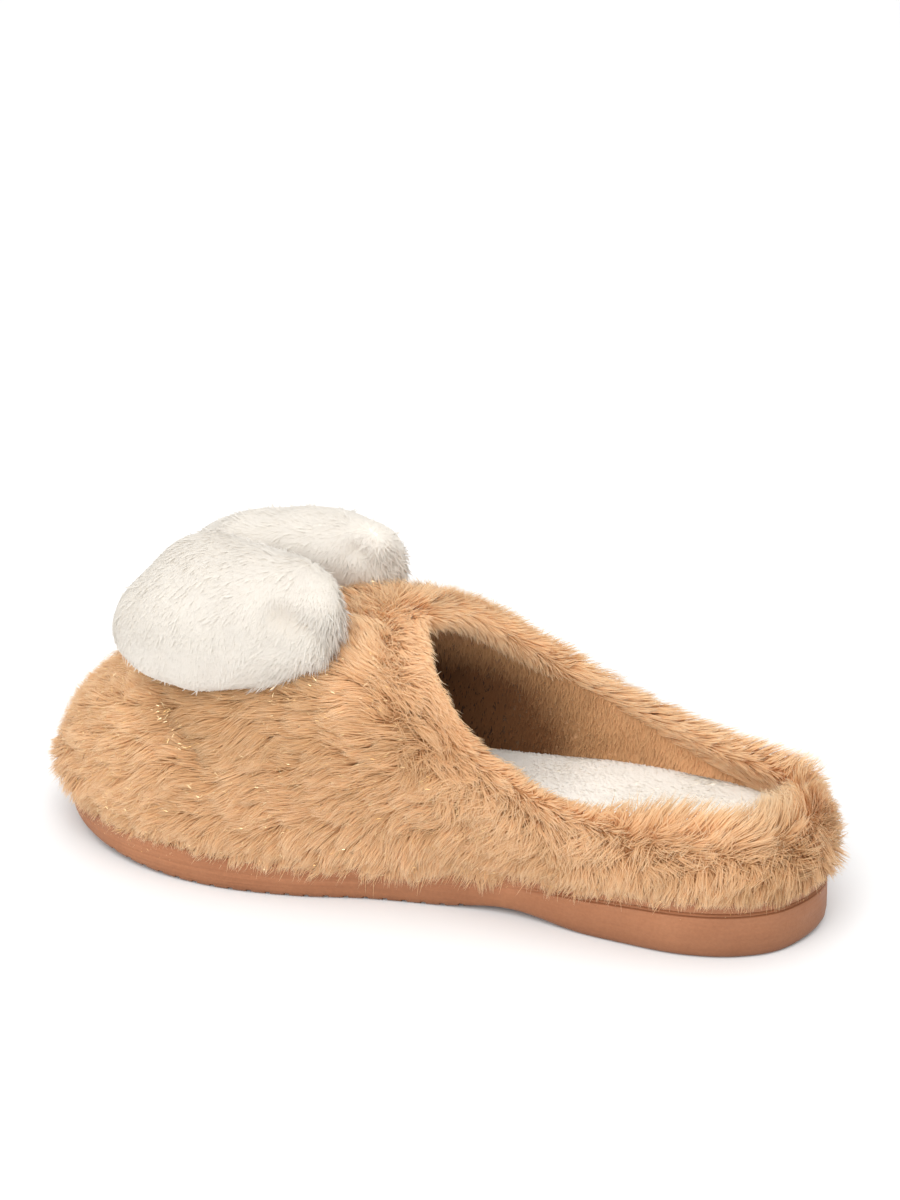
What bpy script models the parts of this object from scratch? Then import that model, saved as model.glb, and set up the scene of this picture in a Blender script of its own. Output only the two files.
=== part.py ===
"""Faux-fur clog slipper, right foot: outsole, insole, upper and two plush ears.

Lengths in the tables are millimetres; objects are built in metres, +Z up.
The toe points to -Y, the medial (inner) side is +X, the floor is z = 0.
"""

import bpy
import bmesh
import numpy as np
from mathutils import Matrix, Vector

MM = 0.001

# ----------------------------------------------------------------- named sizes
SOLE_LENGTH = 256.0
GAP = 0.3                # clearance between pieces that meet
FEATHER_IN = 7.6         # inner wall stands this far inside the sole's edge
STATIONS = 40            # pairs of points along the outline
ARCH_RISE = 2.6          # waist of the sole above the floor
ARCH_FROM, ARCH_TO = 70.0, 124.0
TOE_SPRING = 6.5
SPRING_FROM = 192.0
HEEL_LIFT = 1.6          # rounding of the heel's rear edge
HEEL_LIFT_TO = 12.0
GROOVE_PITCH, GROOVE_WIDE, GROOVE_DEEP = 6.2, 2.0, 1.6
HEEL_MARGIN = 9.0        # the heel's grooves stop this far inside the edge
EAR_SIZE = (22.6, 40.1, 17.9)   # half width, half length, half height
EAR_PITCH = 14.0                # degrees, nose down along the vamp
EAR_BLUNT = 2.13                # 2 is an oval, more is blunter at the ends
EAR_DROOP = 5.4                 # the outer edge hangs down over the vamp's shoulder
EAR_INNER = 0.36                # the inner edge is fuller by this share, towards the toe

# Sole outline: share of the length from the heel, medial and lateral half width
OUTLINE = (
    # station, medial, lateral
    (0.03, 18.8, 18.8),
    (0.08, 28.2, 28.2),
    (0.15, 32.8, 32.8),
    (0.25, 32.0, 34.0),
    (0.40, 28.3, 36.0),
    (0.55, 32.5, 41.0),
    (0.65, 39.0, 44.0),
    (0.75, 42.0, 42.0),
    (0.85, 39.3, 36.0),
    (0.93, 31.0, 26.0),
    (0.98, 19.0, 13.5),
)
TOE_TIP_X = 4.0

# Height of the sole's top rim along the length
RIM = (
    # from heel, height
    (0.0, 21.0),
    (40.0, 20.6),
    (80.0, 18.2),
    (120.0, 14.4),
    (160.0, 12.4),
    (195.0, 12.0),
    (230.0, 13.6),
    (256.0, 16.8),
)

# Footbed with its plush: nearly level from the heel to the waist
INSOLE = (
    # from heel, thickness
    (0.0, 11.5),
    (40.0, 11.8),
    (84.0, 14.0),
    (125.0, 13.2),
    (170.0, 12.0),
    (256.0, 11.0),
)

# Side wall of the sole, from the tread edge to the top rim
SOLE_WALL = (
    # inset from the outline, above the tread, below the rim (one of the two is used)
    (3.8, 0.0, None),
    (1.8, 0.6, None),
    (0.6, 2.0, None),
    (0.0, 3.6, None),
    (0.2, None, 6.2),
    (0.3, None, 5.9),
    (1.0, None, 5.5),
    (1.0, None, 4.5),
    (0.3, None, 4.1),
    (0.5, None, 0.7),
    (1.2, None, 0.0),
)

# Wall sections of the upper, one row for each key ray round the shoe. A ray starts at
# the feather line (foot) and ends on the collar (top). lift and flare shape its foot,
# reach and drop shape the end at the collar.
RAYS = (
    # side, foot from heel, top from heel, top x, top z, lift, flare, reach, drop
    ("heel", 0.0, 9.0, 0.0, 38.5, 8.0, 5.5, 2.0, 7.0),
    ("medial", 14.0, 18.5, 19.0, 38.5, 8.0, 5.5, 2.0, 7.0),
    ("medial", 48.0, 48.5, 27.5, 39.0, 9.0, 5.0, 2.0, 7.0),
    ("medial", 84.0, 80.0, 27.0, 43.0, 10.0, 7.0, 2.5, 9.0),
    ("medial", 114.0, 105.5, 25.0, 54.0, 16.0, 8.0, 6.0, 14.0),
    ("medial", 145.0, 122.5, 20.5, 70.5, 25.0, 7.5, 16.0, 13.0),
    ("medial", 190.0, 132.0, 12.0, 81.5, 33.0, 6.0, 36.0, 8.0),
    ("medial", 232.0, 135.4, 4.3, 85.2, 34.0, 9.0, 53.0, 6.0),
    ("toe", 256.0, 136.0, 0.0, 85.7, 34.0, 11.0, 60.0, 6.0),
    ("lateral", 232.0, 135.2, -4.4, 85.4, 33.0, 9.0, 53.0, 6.0),
    ("lateral", 190.0, 130.5, -13.0, 82.5, 32.0, 6.0, 36.0, 8.0),
    ("lateral", 145.0, 119.5, -23.5, 73.0, 25.0, 6.5, 16.0, 13.0),
    ("lateral", 114.0, 101.5, -29.5, 61.0, 17.0, 6.0, 6.0, 14.0),
    ("lateral", 84.0, 78.0, -31.5, 49.0, 11.0, 5.5, 2.5, 9.0),
    ("lateral", 48.0, 48.0, -29.5, 40.0, 9.0, 5.0, 2.0, 7.0),
    ("lateral", 14.0, 18.5, -19.0, 38.5, 8.0, 5.5, 2.0, 7.0),
)

# Wall with its fur, along a ray from the feather line (0) to the collar (1)
WALL = (
    # along, thickness
    (0.0, 7.0),
    (0.12, 9.4),
    (0.30, 10.0),
    (0.75, 10.0),
    (1.0, 9.0),
)
INNER_ROWS, OUTER_ROWS, RIM_ROWS = 8, 12, 3

# Plush ears on the vamp: centre, roll over the vamp's shoulder, turn about the vertical
EARS = (
    # name, x, from heel, z, roll, turn in degrees
    ("ear_medial", 24.0, 192.1, 90.9, 45.0, 3.3),
    ("ear_lateral", -25.5, 188.7, 87.1, -38.6, -2.7),
)

# Colours from the photo, as linear RGB with roughness
FINISH = {
    "outsole": ((0.50, 0.23, 0.13), 0.55),
    "insole": ((0.86, 0.80, 0.70), 0.95),
    "upper": ((0.68, 0.38, 0.18), 0.90),
    "ear": ((0.88, 0.84, 0.77), 0.95),
}


# ----------------------------------------------------------------- curves
def column(table, value, key=0):
    """A table's column read as a smooth curve of its key column (monotone cubic)."""
    xs = np.array([row[key] for row in table], float)
    ys = np.array([row[value] for row in table], float)
    step, rise = np.diff(xs), np.diff(ys)
    slope = rise / step
    tangent = np.zeros(len(xs))
    same = slope[:-1] * slope[1:] > 0
    mean = np.where(same, 2 * slope[:-1] * slope[1:] / np.where(same, slope[:-1] + slope[1:], 1), 0)
    tangent[1:-1] = mean
    tangent[0], tangent[-1] = slope[0], slope[-1]

    def at(x):
        x = np.clip(np.asarray(x, float), xs[0], xs[-1])
        k = np.clip(np.searchsorted(xs, x, side="right") - 1, 0, len(xs) - 2)
        h = step[k]
        f = (x - xs[k]) / h
        return (
            (1 + 2 * f) * (1 - f) ** 2 * ys[k]
            + f * (1 - f) ** 2 * h * tangent[k]
            + f * f * (3 - 2 * f) * ys[k + 1]
            + f * f * (f - 1) * h * tangent[k + 1]
        )

    return at


def closed_curve(keys, rows, at):
    """Rows given at growing keys on a closed loop of length 1, read at other keys."""
    keys, rows = np.asarray(keys, float), np.asarray(rows, float)
    k3 = np.r_[keys[-2:] - 1, keys, keys[:2] + 1]
    r3 = np.r_[rows[-2:], rows, rows[:2]]
    tangent = np.zeros_like(r3)
    before, after = np.diff(k3)[:-1, None], np.diff(k3)[1:, None]
    into, out = np.diff(r3, axis=0)[:-1] / before, np.diff(r3, axis=0)[1:] / after
    tangent[1:-1] = (into * after + out * before) / (before + after)
    at = np.asarray(at, float)
    k = np.clip(np.searchsorted(k3, at, side="right") - 1, 1, len(k3) - 3)
    h = (k3[k + 1] - k3[k])[:, None]
    f = (at - k3[k])[:, None] / h
    return (
        (1 + 2 * f) * (1 - f) ** 2 * r3[k]
        + f * (1 - f) ** 2 * h * tangent[k]
        + f * f * (3 - 2 * f) * r3[k + 1]
        + f * f * (f - 1) * h * tangent[k + 1]
    )


def sole_outline():
    """Points round the sole as x and distance from the heel, paired across the shoe:
    heel, medial side to the toe, toe, lateral side back to the heel."""
    ring = [(0.0, 0.0)]
    ring += [(m, s * SOLE_LENGTH) for s, m, _ in OUTLINE]
    ring += [(TOE_TIP_X, SOLE_LENGTH)]
    ring += [(-l, s * SOLE_LENGTH) for s, _, l in reversed(OUTLINE)]
    ring = np.array(ring)
    chord = np.sqrt(np.linalg.norm(np.roll(ring, -1, 0) - ring, axis=1))
    keys = np.r_[0, np.cumsum(chord)[:-1]] / chord.sum()
    fine = closed_curve(keys, ring, np.linspace(0, 1, 4000, endpoint=False))
    toe = int(fine[:, 1].argmax())
    heel = int(fine[:, 1].argmin())
    if heel > toe:
        heel -= len(fine)
    medial = np.take(fine, np.arange(heel, toe + 1), 0, mode="wrap")
    lateral = np.take(fine, np.arange(toe, heel + len(fine) + 1), 0, mode="wrap")[::-1]
    k = np.linspace(0, 1, STATIONS + 1)
    share = 0.72 * (1 - np.cos(np.pi * k)) / 2 + 0.28 * k
    low, high = fine[:, 1].min(), fine[:, 1].max()
    t = low + (high - low) * share
    m = np.interp(t, medial[:, 1], medial[:, 0])
    l = np.interp(t, lateral[:, 1], lateral[:, 0])
    return np.r_[np.c_[m, t], np.c_[l, t][-2:0:-1]]


OUT = sole_outline()
LEFT = np.roll(OUT, -1, 0) - np.roll(OUT, 1, 0)
NORMAL = np.c_[LEFT[:, 1], -LEFT[:, 0]] / np.linalg.norm(LEFT, axis=1)[:, None]
insole_thick = column(INSOLE, 1)
rim_height = column(RIM, 1)
wall_thick = column(WALL, 1)


def tread_height(t):
    """Underside of the sole: flat heel and forefoot, raised waist, toe spring."""
    t = np.asarray(t, float)
    z = np.zeros_like(t)
    waist = np.clip((t - ARCH_FROM) / (ARCH_TO - ARCH_FROM), 0, 1)
    z += ARCH_RISE * np.sin(np.pi * waist) ** 2
    z += TOE_SPRING * np.clip((t - SPRING_FROM) / (SOLE_LENGTH - SPRING_FROM), 0, 1) ** 2
    z += HEEL_LIFT * np.clip((HEEL_LIFT_TO - t) / HEEL_LIFT_TO, 0, 1) ** 2
    return z


def ring_at(inset):
    """The outline moved inwards, as x and distance from the heel."""
    return OUT - NORMAL * inset


def world(x, t, z):
    """Shoe sizes in millimetres to metres, toe to -Y, length centred."""
    return np.stack([x, SOLE_LENGTH / 2 - t, z], -1) * MM


# ----------------------------------------------------------------- mesh helpers
collection = None
cutters = None


def material(name, colour, rough):
    found = bpy.data.materials.new(name)
    found.use_nodes = True
    shader = found.node_tree.nodes["Principled BSDF"]
    shader.inputs["Base Color"].default_value = (*colour, 1)
    shader.inputs["Roughness"].default_value = rough
    shader.inputs["Metallic"].default_value = 0.0
    return found


def add_object(name, bm, finish=None, parent=None):
    mesh = bpy.data.meshes.new(name)
    bmesh.ops.recalc_face_normals(bm, faces=bm.faces)
    bm.to_mesh(mesh)
    bm.free()
    obj = bpy.data.objects.new(name, mesh)
    if finish:
        mesh.materials.append(finish)
        collection.objects.link(obj)
        mesh.shade_smooth()
        mesh.set_sharp_from_angle(angle=0.7)
    else:
        cutters.objects.link(obj)
        obj.hide_render = True
        obj.display_type = "WIRE"
    obj.parent = parent
    return obj


def stack(rings):
    """A solid from rings of paired points, lowest first, its two ends closed by strips
    that run across the shoe."""
    bm = bmesh.new()
    rows = [[bm.verts.new(p) for p in ring] for ring in rings]
    n = len(rows[0])
    for low, high in zip(rows, rows[1:]):
        for i in range(n):
            j = (i + 1) % n
            bm.faces.new((low[i], low[j], high[j], high[i]))
    half = n // 2
    for row in (rows[0], rows[-1]):
        for i in range(half):
            a, b = row[i], row[i + 1]
            c, d = row[(n - i - 1) % n], row[(n - i) % n]
            corners = [a, b] + [v for v in (c, d) if v not in (a, b)]
            bm.faces.new(corners)
    return bm


def loft_closed(sections):
    """A ring of closed sections joined one to the next: a wall that runs all round."""
    bm = bmesh.new()
    rows = [[bm.verts.new(p) for p in section] for section in sections]
    n, m = len(rows), len(rows[0])
    for i in range(n):
        a, b = rows[i], rows[(i + 1) % n]
        for j in range(m):
            k = (j + 1) % m
            bm.faces.new((a[j], b[j], b[k], a[k]))
    return bm


# ----------------------------------------------------------------- upper
def ray_rows():
    """The ray table read at every outline point."""
    step = np.linalg.norm(np.roll(OUT, -1, 0) - OUT, axis=1)
    along = np.r_[0, np.cumsum(step)[:-1]] / step.sum()
    half = len(OUT) // 2
    keys, rows = [], []
    for side, foot, *rest in RAYS:
        if side == "heel":
            key = 0.0
        elif side == "toe":
            key = along[half]
        elif side == "medial":
            key = np.interp(foot, OUT[: half + 1, 1], along[: half + 1])
        else:
            back = np.r_[OUT[half:, 1], OUT[0, 1]][::-1]
            key = np.interp(foot, back, np.r_[along[half:], 1.0][::-1])
        keys.append(key)
        rows.append(rest)
    return closed_curve(keys, rows, along)


def inner_surface(h):
    """Lining side of the upper: for each share h of the way up, a ring of points."""
    top_t, top_x, top_z, lift, flare, reach, drop = ray_rows().T
    foot = ring_at(FEATHER_IN)
    p0 = np.c_[foot, rim_height(foot[:, 1]) + GAP]
    p3 = np.c_[top_x, top_t, top_z]
    lean = foot - p3[:, :2] + 5.0 * NORMAL
    lean /= np.linalg.norm(lean, axis=1)[:, None]
    p1 = p0 + np.c_[NORMAL * flare[:, None], lift]
    p2 = p3 + np.c_[lean * reach[:, None], -drop]
    h = np.asarray(h, float)[:, None, None]
    return (1 - h) ** 3 * p0 + 3 * h * (1 - h) ** 2 * p1 + 3 * h * h * (1 - h) * p2 + h**3 * p3


def directions(h):
    """Unit directions on the inner surface: up the ray, and outwards through the wall."""
    d = 1e-3
    here = inner_surface(h)
    low, high = np.clip(h - d, 0, 1), np.clip(h + d, 0, 1)
    up = inner_surface(high) - inner_surface(low)
    up /= np.linalg.norm(up, axis=2)[:, :, None]
    side = np.roll(here, -1, 1) - np.roll(here, 1, 1)
    out = np.cross(side, up)
    out /= np.linalg.norm(out, axis=2)[:, :, None]
    middle = here.mean((0, 1))
    if ((here - middle) * out).sum() < 0:
        out = -out
    return up, out


def outer_surface(h, extra=0.0):
    """Fur side of the upper, the wall's thickness outside the lining."""
    _, out = directions(h)
    thick = wall_thick(h)[:, None, None] + extra
    p = inner_surface(h) + out * thick
    floor = rim_height(p[:, :, 1]) + GAP - extra
    p[:, :, 2] = np.maximum(p[:, :, 2], floor)
    return p


def build_upper(finish, parent):
    inner_h = np.linspace(0, 1, INNER_ROWS)
    outer_h = np.linspace(0, 1, OUTER_ROWS) ** 1.15
    inner, outer = inner_surface(inner_h), outer_surface(outer_h)
    up, out = directions(np.array([1.0]))
    middle = (inner[-1] + outer[-1]) / 2
    radius = wall_thick(1.0) / 2
    rim = []
    for k in range(1, RIM_ROWS + 1):
        a = np.pi * k / (RIM_ROWS + 1)
        rim.append(middle + radius * (np.sin(a) * up[0] - np.cos(a) * out[0]))
    section = np.concatenate([inner, np.array(rim), outer[::-1]])
    p = world(section[:, :, 0], section[:, :, 1], section[:, :, 2])
    return add_object("upper", loft_closed(p.transpose(1, 0, 2)), finish, parent)


def vamp_form(parent):
    """The fur side as one closed form, a little larger, to seat the ears on."""
    rows = outer_surface(np.linspace(0, 1, 24) ** 1.1, extra=0.45)
    base = rows[:1].copy()
    base[:, :, 2] = 5.0
    rows = np.concatenate([base, rows])
    bm = bmesh.new()
    made = [[bm.verts.new(p) for p in world(r[:, 0], r[:, 1], r[:, 2])] for r in rows]
    n = len(made[0])
    for low, high in zip(made, made[1:]):
        for i in range(n):
            j = (i + 1) % n
            bm.faces.new((low[i], low[j], high[j], high[i]))
    for row in (made[0], made[-1]):
        centre = bm.verts.new(sum((v.co for v in row), row[0].co * 0) / n)
        for i in range(n):
            bm.faces.new((row[i], row[(i + 1) % n], centre))
    return add_object("vamp_form", bm, None, parent)


# ----------------------------------------------------------------- the other pieces
def build_outsole(finish, parent):
    rings = []
    for inset, above, below in SOLE_WALL:
        ring = ring_at(inset)
        t = ring[:, 1]
        z = tread_height(t) + above if below is None else rim_height(t) - below
        rings.append(world(ring[:, 0], t, z))
    sole = add_object("outsole", stack(rings), finish, parent)
    bm = bmesh.new()
    half = len(OUT) // 2
    runs = [(18.0 + GROOVE_PITCH * k, HEEL_MARGIN) for k in range(8)]
    runs += [(113.0 + GROOVE_PITCH * k, -10.0) for k in range(20)]
    for t, margin in runs:
        high = float(tread_height(t)) + GROOVE_DEEP
        low = -4.0
        right = np.interp(t, OUT[: half + 1, 1], OUT[: half + 1, 0]) - margin
        left = np.interp(t, OUT[half:, 1][::-1], OUT[half:, 0][::-1]) + margin
        for v in bmesh.ops.create_cube(bm, size=1.0)["verts"]:
            v.co = world(
                np.float64((left + right) / 2 + v.co.x * (right - left)),
                np.float64(t - v.co.y * GROOVE_WIDE),
                np.float64((high + low) / 2 + v.co.z * (high - low)),
            )
    grooves = add_object("tread_grooves", bm, None, parent)
    cut = sole.modifiers.new("tread", "BOOLEAN")
    cut.operation = "DIFFERENCE"
    cut.object = grooves
    return sole


def lining_at(up):
    """Points of the lining at the given heights over the sole's top, one for each ray."""
    h = np.linspace(0, 1, INNER_ROWS)
    wall = inner_surface(h)
    high = wall[..., 2] - rim_height(wall[..., 1])
    out = np.empty_like(OUT)
    for k in range(len(OUT)):
        at = np.interp(up[k], high[:, k], h)
        out[k] = [np.interp(at, h, wall[:, k, 0]), np.interp(at, h, wall[:, k, 1])]
    return out


def build_insole(finish, parent):
    """Footbed: follows the sole's top and the lining, with a slightly rounded upper edge."""
    rings = []
    for inset, share in ((0.5, 0.0), (0.6, 0.35), (0.6, 0.7), (1.3, 0.93), (3.0, 1.0)):
        up = GAP + (insole_thick(OUT[:, 1]) - GAP) * share
        ring = lining_at(up) - NORMAL * inset
        t = ring[:, 1]
        rings.append(world(ring[:, 0], t, rim_height(t) + up))
    return add_object("insole", stack(rings), finish, parent)


def build_ear(name, x, t, z, roll, turn, finish, form, parent):
    """A stuffed oval, fuller towards the toe, draped over the vamp and seated on it."""
    bm = bmesh.new()
    bmesh.ops.create_uvsphere(bm, u_segments=28, v_segments=16, radius=1.0)
    wide, long, high = EAR_SIZE
    hang = Matrix.Rotation(np.radians(turn), 3, "Z") @ Matrix.Rotation(np.radians(EAR_PITCH), 3, "X")
    hang = hang @ Matrix.Rotation(np.radians(roll), 3, "Y")
    outer = np.sign(roll)
    for v in bm.verts:
        a, b, c = v.co.y, v.co.z, v.co.x   # the sphere's poles lie along the ear
        round_end = max(1e-4, 1.0 - b * b) ** 0.5
        full = max(0.0, 1.0 - abs(b) ** EAR_BLUNT) ** (1.0 / EAR_BLUNT) / round_end
        droop = EAR_DROOP * max(0.0, a * outer) ** 2
        swell = 1.0 + EAR_INNER * max(0.0, -a * outer) * np.exp(-(((b + 0.3) / 0.45) ** 2))
        q = hang @ Vector((a * wide * full * swell, b * long, c * high * full - droop))
        v.co = world(np.float64(x + q.x), np.float64(t - q.y), np.float64(z + q.z))
    ear = add_object(name, bm, finish, parent)
    seat = ear.modifiers.new("seat", "BOOLEAN")
    seat.operation = "DIFFERENCE"
    seat.object = form
    return ear


def centre_on_floor(root):
    """Puts the origin under the middle of the whole shoe."""
    bpy.context.view_layer.update()
    graph = bpy.context.evaluated_depsgraph_get()
    corners = []
    for obj in collection.objects:
        if obj.type == "MESH":
            shape = obj.evaluated_get(graph)
            corners += [shape.matrix_world @ v.co for v in shape.data.vertices]
    corners = np.array(corners)
    low, high = corners.min(0), corners.max(0)
    root.location = (-(low[0] + high[0]) / 2, -(low[1] + high[1]) / 2, -low[2])
    bpy.context.view_layer.update()


def main():
    global collection, cutters
    for obj in list(bpy.data.objects):
        bpy.data.objects.remove(obj)
    scene = bpy.context.scene.collection
    collection = bpy.data.collections.new("clog_slipper")
    cutters = bpy.data.collections.new("cutters")
    scene.children.link(collection)
    scene.children.link(cutters)
    root = bpy.data.objects.new("slipper", None)
    collection.objects.link(root)
    finish = {name: material(name, *values) for name, values in FINISH.items()}
    build_outsole(finish["outsole"], root)
    build_insole(finish["insole"], root)
    build_upper(finish["upper"], root)
    form = vamp_form(root)
    for name, x, t, z, roll, turn in EARS:
        build_ear(name, x, t, z, roll, turn, finish["ear"], form, root)
    centre_on_floor(root)


main()
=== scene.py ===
import math

import bpy
import bmesh
import numpy as np
from mathutils import Matrix, Vector
from mathutils.bvhtree import BVHTree
from mathutils.kdtree import KDTree

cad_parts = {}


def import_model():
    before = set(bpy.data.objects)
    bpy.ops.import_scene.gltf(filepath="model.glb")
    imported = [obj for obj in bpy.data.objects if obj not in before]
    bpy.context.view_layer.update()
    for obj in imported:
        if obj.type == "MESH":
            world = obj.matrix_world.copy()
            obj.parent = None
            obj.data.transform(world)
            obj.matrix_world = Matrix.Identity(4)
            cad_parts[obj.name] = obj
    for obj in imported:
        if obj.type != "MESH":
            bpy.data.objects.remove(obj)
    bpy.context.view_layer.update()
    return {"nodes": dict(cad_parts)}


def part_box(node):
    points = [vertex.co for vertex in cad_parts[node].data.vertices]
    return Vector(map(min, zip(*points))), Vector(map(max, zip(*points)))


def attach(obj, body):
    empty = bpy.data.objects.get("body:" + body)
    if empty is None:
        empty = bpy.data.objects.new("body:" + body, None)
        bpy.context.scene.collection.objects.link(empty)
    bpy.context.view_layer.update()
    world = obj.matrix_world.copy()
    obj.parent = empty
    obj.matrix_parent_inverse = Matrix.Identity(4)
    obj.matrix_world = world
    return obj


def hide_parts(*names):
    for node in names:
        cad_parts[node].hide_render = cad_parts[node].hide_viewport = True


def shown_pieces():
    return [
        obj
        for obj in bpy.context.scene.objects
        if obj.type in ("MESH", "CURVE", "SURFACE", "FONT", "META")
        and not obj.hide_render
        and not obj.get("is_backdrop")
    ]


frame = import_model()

# Lengths are millimetres in the shoe's own sizes: x to the medial side, t from the heel,
# z up. They become metres in the frame only when a mesh is made.
MM = 0.001

# ----------------------------------------------------------------- named sizes
SOLE_LENGTH = 256.0
FEATHER_IN = 7.6
STATIONS = 110
ARCH_RISE = 2.6
ARCH_FROM, ARCH_TO = 70.0, 124.0
TOE_SPRING = 6.5
SPRING_FROM = 192.0
HEEL_LIFT = 1.6
HEEL_LIFT_TO = 12.0
GROOVE_PITCH, GROOVE_WIDE, GROOVE_DEEP = 6.2, 1.8, 1.3
HEEL_MARGIN = 9.0
EAR_SIZE = (22.6, 40.1, 17.9)
EAR_PITCH = 14.0
EAR_BLUNT = 2.13
EAR_DROOP = 5.4
EAR_INNER = 0.36
EAR_PILE = 0.9           # depth of the ears' plush
# Dents at the heel end, where the ear is gathered: outer side, then inner side
EAR_DENTS = (
    # depth, half width, then points as across, along, up
    (2.4, 5.4, (0.26, 0.58, 0.76), (0.33, 0.76, 0.55), (0.36, 0.84, 0.40), (0.37, 0.90, 0.20), (0.34, 0.94, 0.03)),
    (2.2, 4.4, (-0.60, 0.78, -0.05), (-0.43, 0.87, -0.21), (-0.17, 0.97, -0.14)),
)
TOE_TIP_X = 4.0
INNER_FUR = 3.5         # the fur turns this far down inside the collar

OUTLINE = (
    # station, medial, lateral
    (0.03, 18.8, 18.8),
    (0.08, 28.2, 28.2),
    (0.15, 32.8, 32.8),
    (0.25, 32.0, 34.0),
    (0.40, 28.3, 36.0),
    (0.55, 32.5, 41.0),
    (0.65, 39.0, 44.0),
    (0.75, 42.0, 42.0),
    (0.85, 39.3, 36.0),
    (0.93, 31.0, 26.0),
    (0.98, 19.0, 13.5),
)
RIM = (
    # from heel, height
    (0.0, 21.0),
    (40.0, 20.6),
    (80.0, 18.2),
    (120.0, 14.4),
    (160.0, 12.4),
    (195.0, 12.0),
    (230.0, 13.6),
    (256.0, 16.8),
)
INSOLE = (
    # from heel, thickness
    (0.0, 11.5),
    (40.0, 11.8),
    (84.0, 14.0),
    (125.0, 13.2),
    (170.0, 12.0),
    (256.0, 11.0),
)
# The sole's wall: a rounded lower edge, a plain side, two fine grooves with a welt
# between them under the top band
SOLE_WALL = (
    # inset from the outline, above the tread, below the rim (one of the two is used)
    (4.2, 0.0, None),
    (3.2, 0.05, None),
    (2.3, 0.3, None),
    (1.5, 0.8, None),
    (0.85, 1.6, None),
    (0.4, 2.7, None),
    (0.12, 3.9, None),
    (0.0, 5.0, None),
    (0.12, None, 6.8),
    (0.2, None, 6.1),
    (0.3, None, 5.95),
    (1.0, None, 5.75),
    (1.0, None, 5.4),
    (0.35, None, 5.2),
    (0.12, None, 4.98),
    (0.35, None, 4.75),
    (1.0, None, 4.55),
    (1.0, None, 4.2),
    (0.3, None, 4.0),
    (0.26, None, 3.6),
    (0.34, None, 2.0),
    (0.4, None, 1.2),
    (0.55, None, 0.6),
    (0.85, None, 0.2),
    (1.3, None, 0.0),
)
RAYS = (
    # side, foot from heel, top from heel, top x, top z, lift, flare, reach, drop
    ("heel", 0.0, 9.0, 0.0, 38.5, 8.0, 5.5, 2.0, 7.0),
    ("medial", 14.0, 18.5, 19.0, 38.5, 8.0, 5.5, 2.0, 7.0),
    ("medial", 48.0, 48.5, 27.5, 39.0, 9.0, 5.0, 2.0, 7.0),
    ("medial", 84.0, 80.0, 27.0, 43.0, 10.0, 7.0, 2.5, 9.0),
    ("medial", 114.0, 105.5, 25.0, 54.0, 16.0, 8.0, 6.0, 14.0),
    ("medial", 145.0, 122.5, 20.5, 70.5, 25.0, 7.5, 16.0, 13.0),
    ("medial", 190.0, 132.0, 12.0, 81.5, 33.0, 6.0, 36.0, 8.0),
    ("medial", 232.0, 135.4, 4.3, 85.2, 34.0, 9.0, 53.0, 6.0),
    ("toe", 256.0, 136.0, 0.0, 85.7, 34.0, 11.0, 60.0, 6.0),
    ("lateral", 232.0, 135.2, -4.4, 85.4, 33.0, 9.0, 53.0, 6.0),
    ("lateral", 190.0, 130.5, -13.0, 82.5, 32.0, 6.0, 36.0, 8.0),
    ("lateral", 145.0, 119.5, -23.5, 73.0, 25.0, 6.5, 16.0, 13.0),
    ("lateral", 114.0, 101.5, -29.5, 61.0, 17.0, 6.0, 6.0, 14.0),
    ("lateral", 84.0, 78.0, -31.5, 49.0, 11.0, 5.5, 2.5, 9.0),
    ("lateral", 48.0, 48.0, -29.5, 40.0, 9.0, 5.0, 2.0, 7.0),
    ("lateral", 14.0, 18.5, -19.0, 38.5, 8.0, 5.5, 2.0, 7.0),
)
WALL = (
    # along, thickness with the fur, depth of the fur
    (0.0, 7.0, 2.0),
    (0.12, 9.4, 4.6),
    (0.30, 10.0, 6.0),
    (0.75, 10.0, 6.0),
    (1.0, 9.0, 5.6),
)
EARS = (
    # name, x, from heel, z, roll, turn in degrees
    ("ear_medial", 24.0, 192.1, 90.9, 45.0, 3.3),
    ("ear_lateral", -25.5, 188.7, 87.1, -38.6, -2.7),
)
# Soft troughs of the vamp, placed one by one
CREASES = (
    # depth, half width, then points as x, from heel, z
    (4.4, 5.5, (29.6, 210.0, 57.0), (32.5, 206.0, 55.0), (35.4, 200.8, 52.0), (37.0, 196.3, 49.0), (37.8, 193.5, 46.5)),
)


# ----------------------------------------------------------------- curves
def column(table, value, key=0):
    """A table's column read as a smooth curve of its key column (monotone cubic)."""
    xs = np.array([row[key] for row in table], float)
    ys = np.array([row[value] for row in table], float)
    step, rise = np.diff(xs), np.diff(ys)
    slope = rise / step
    tangent = np.zeros(len(xs))
    same = slope[:-1] * slope[1:] > 0
    mean = np.where(same, 2 * slope[:-1] * slope[1:] / np.where(same, slope[:-1] + slope[1:], 1), 0)
    tangent[1:-1] = mean
    tangent[0], tangent[-1] = slope[0], slope[-1]

    def at(x):
        x = np.clip(np.asarray(x, float), xs[0], xs[-1])
        k = np.clip(np.searchsorted(xs, x, side="right") - 1, 0, len(xs) - 2)
        h = step[k]
        f = (x - xs[k]) / h
        return (
            (1 + 2 * f) * (1 - f) ** 2 * ys[k]
            + f * (1 - f) ** 2 * h * tangent[k]
            + f * f * (3 - 2 * f) * ys[k + 1]
            + f * f * (f - 1) * h * tangent[k + 1]
        )

    return at


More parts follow.
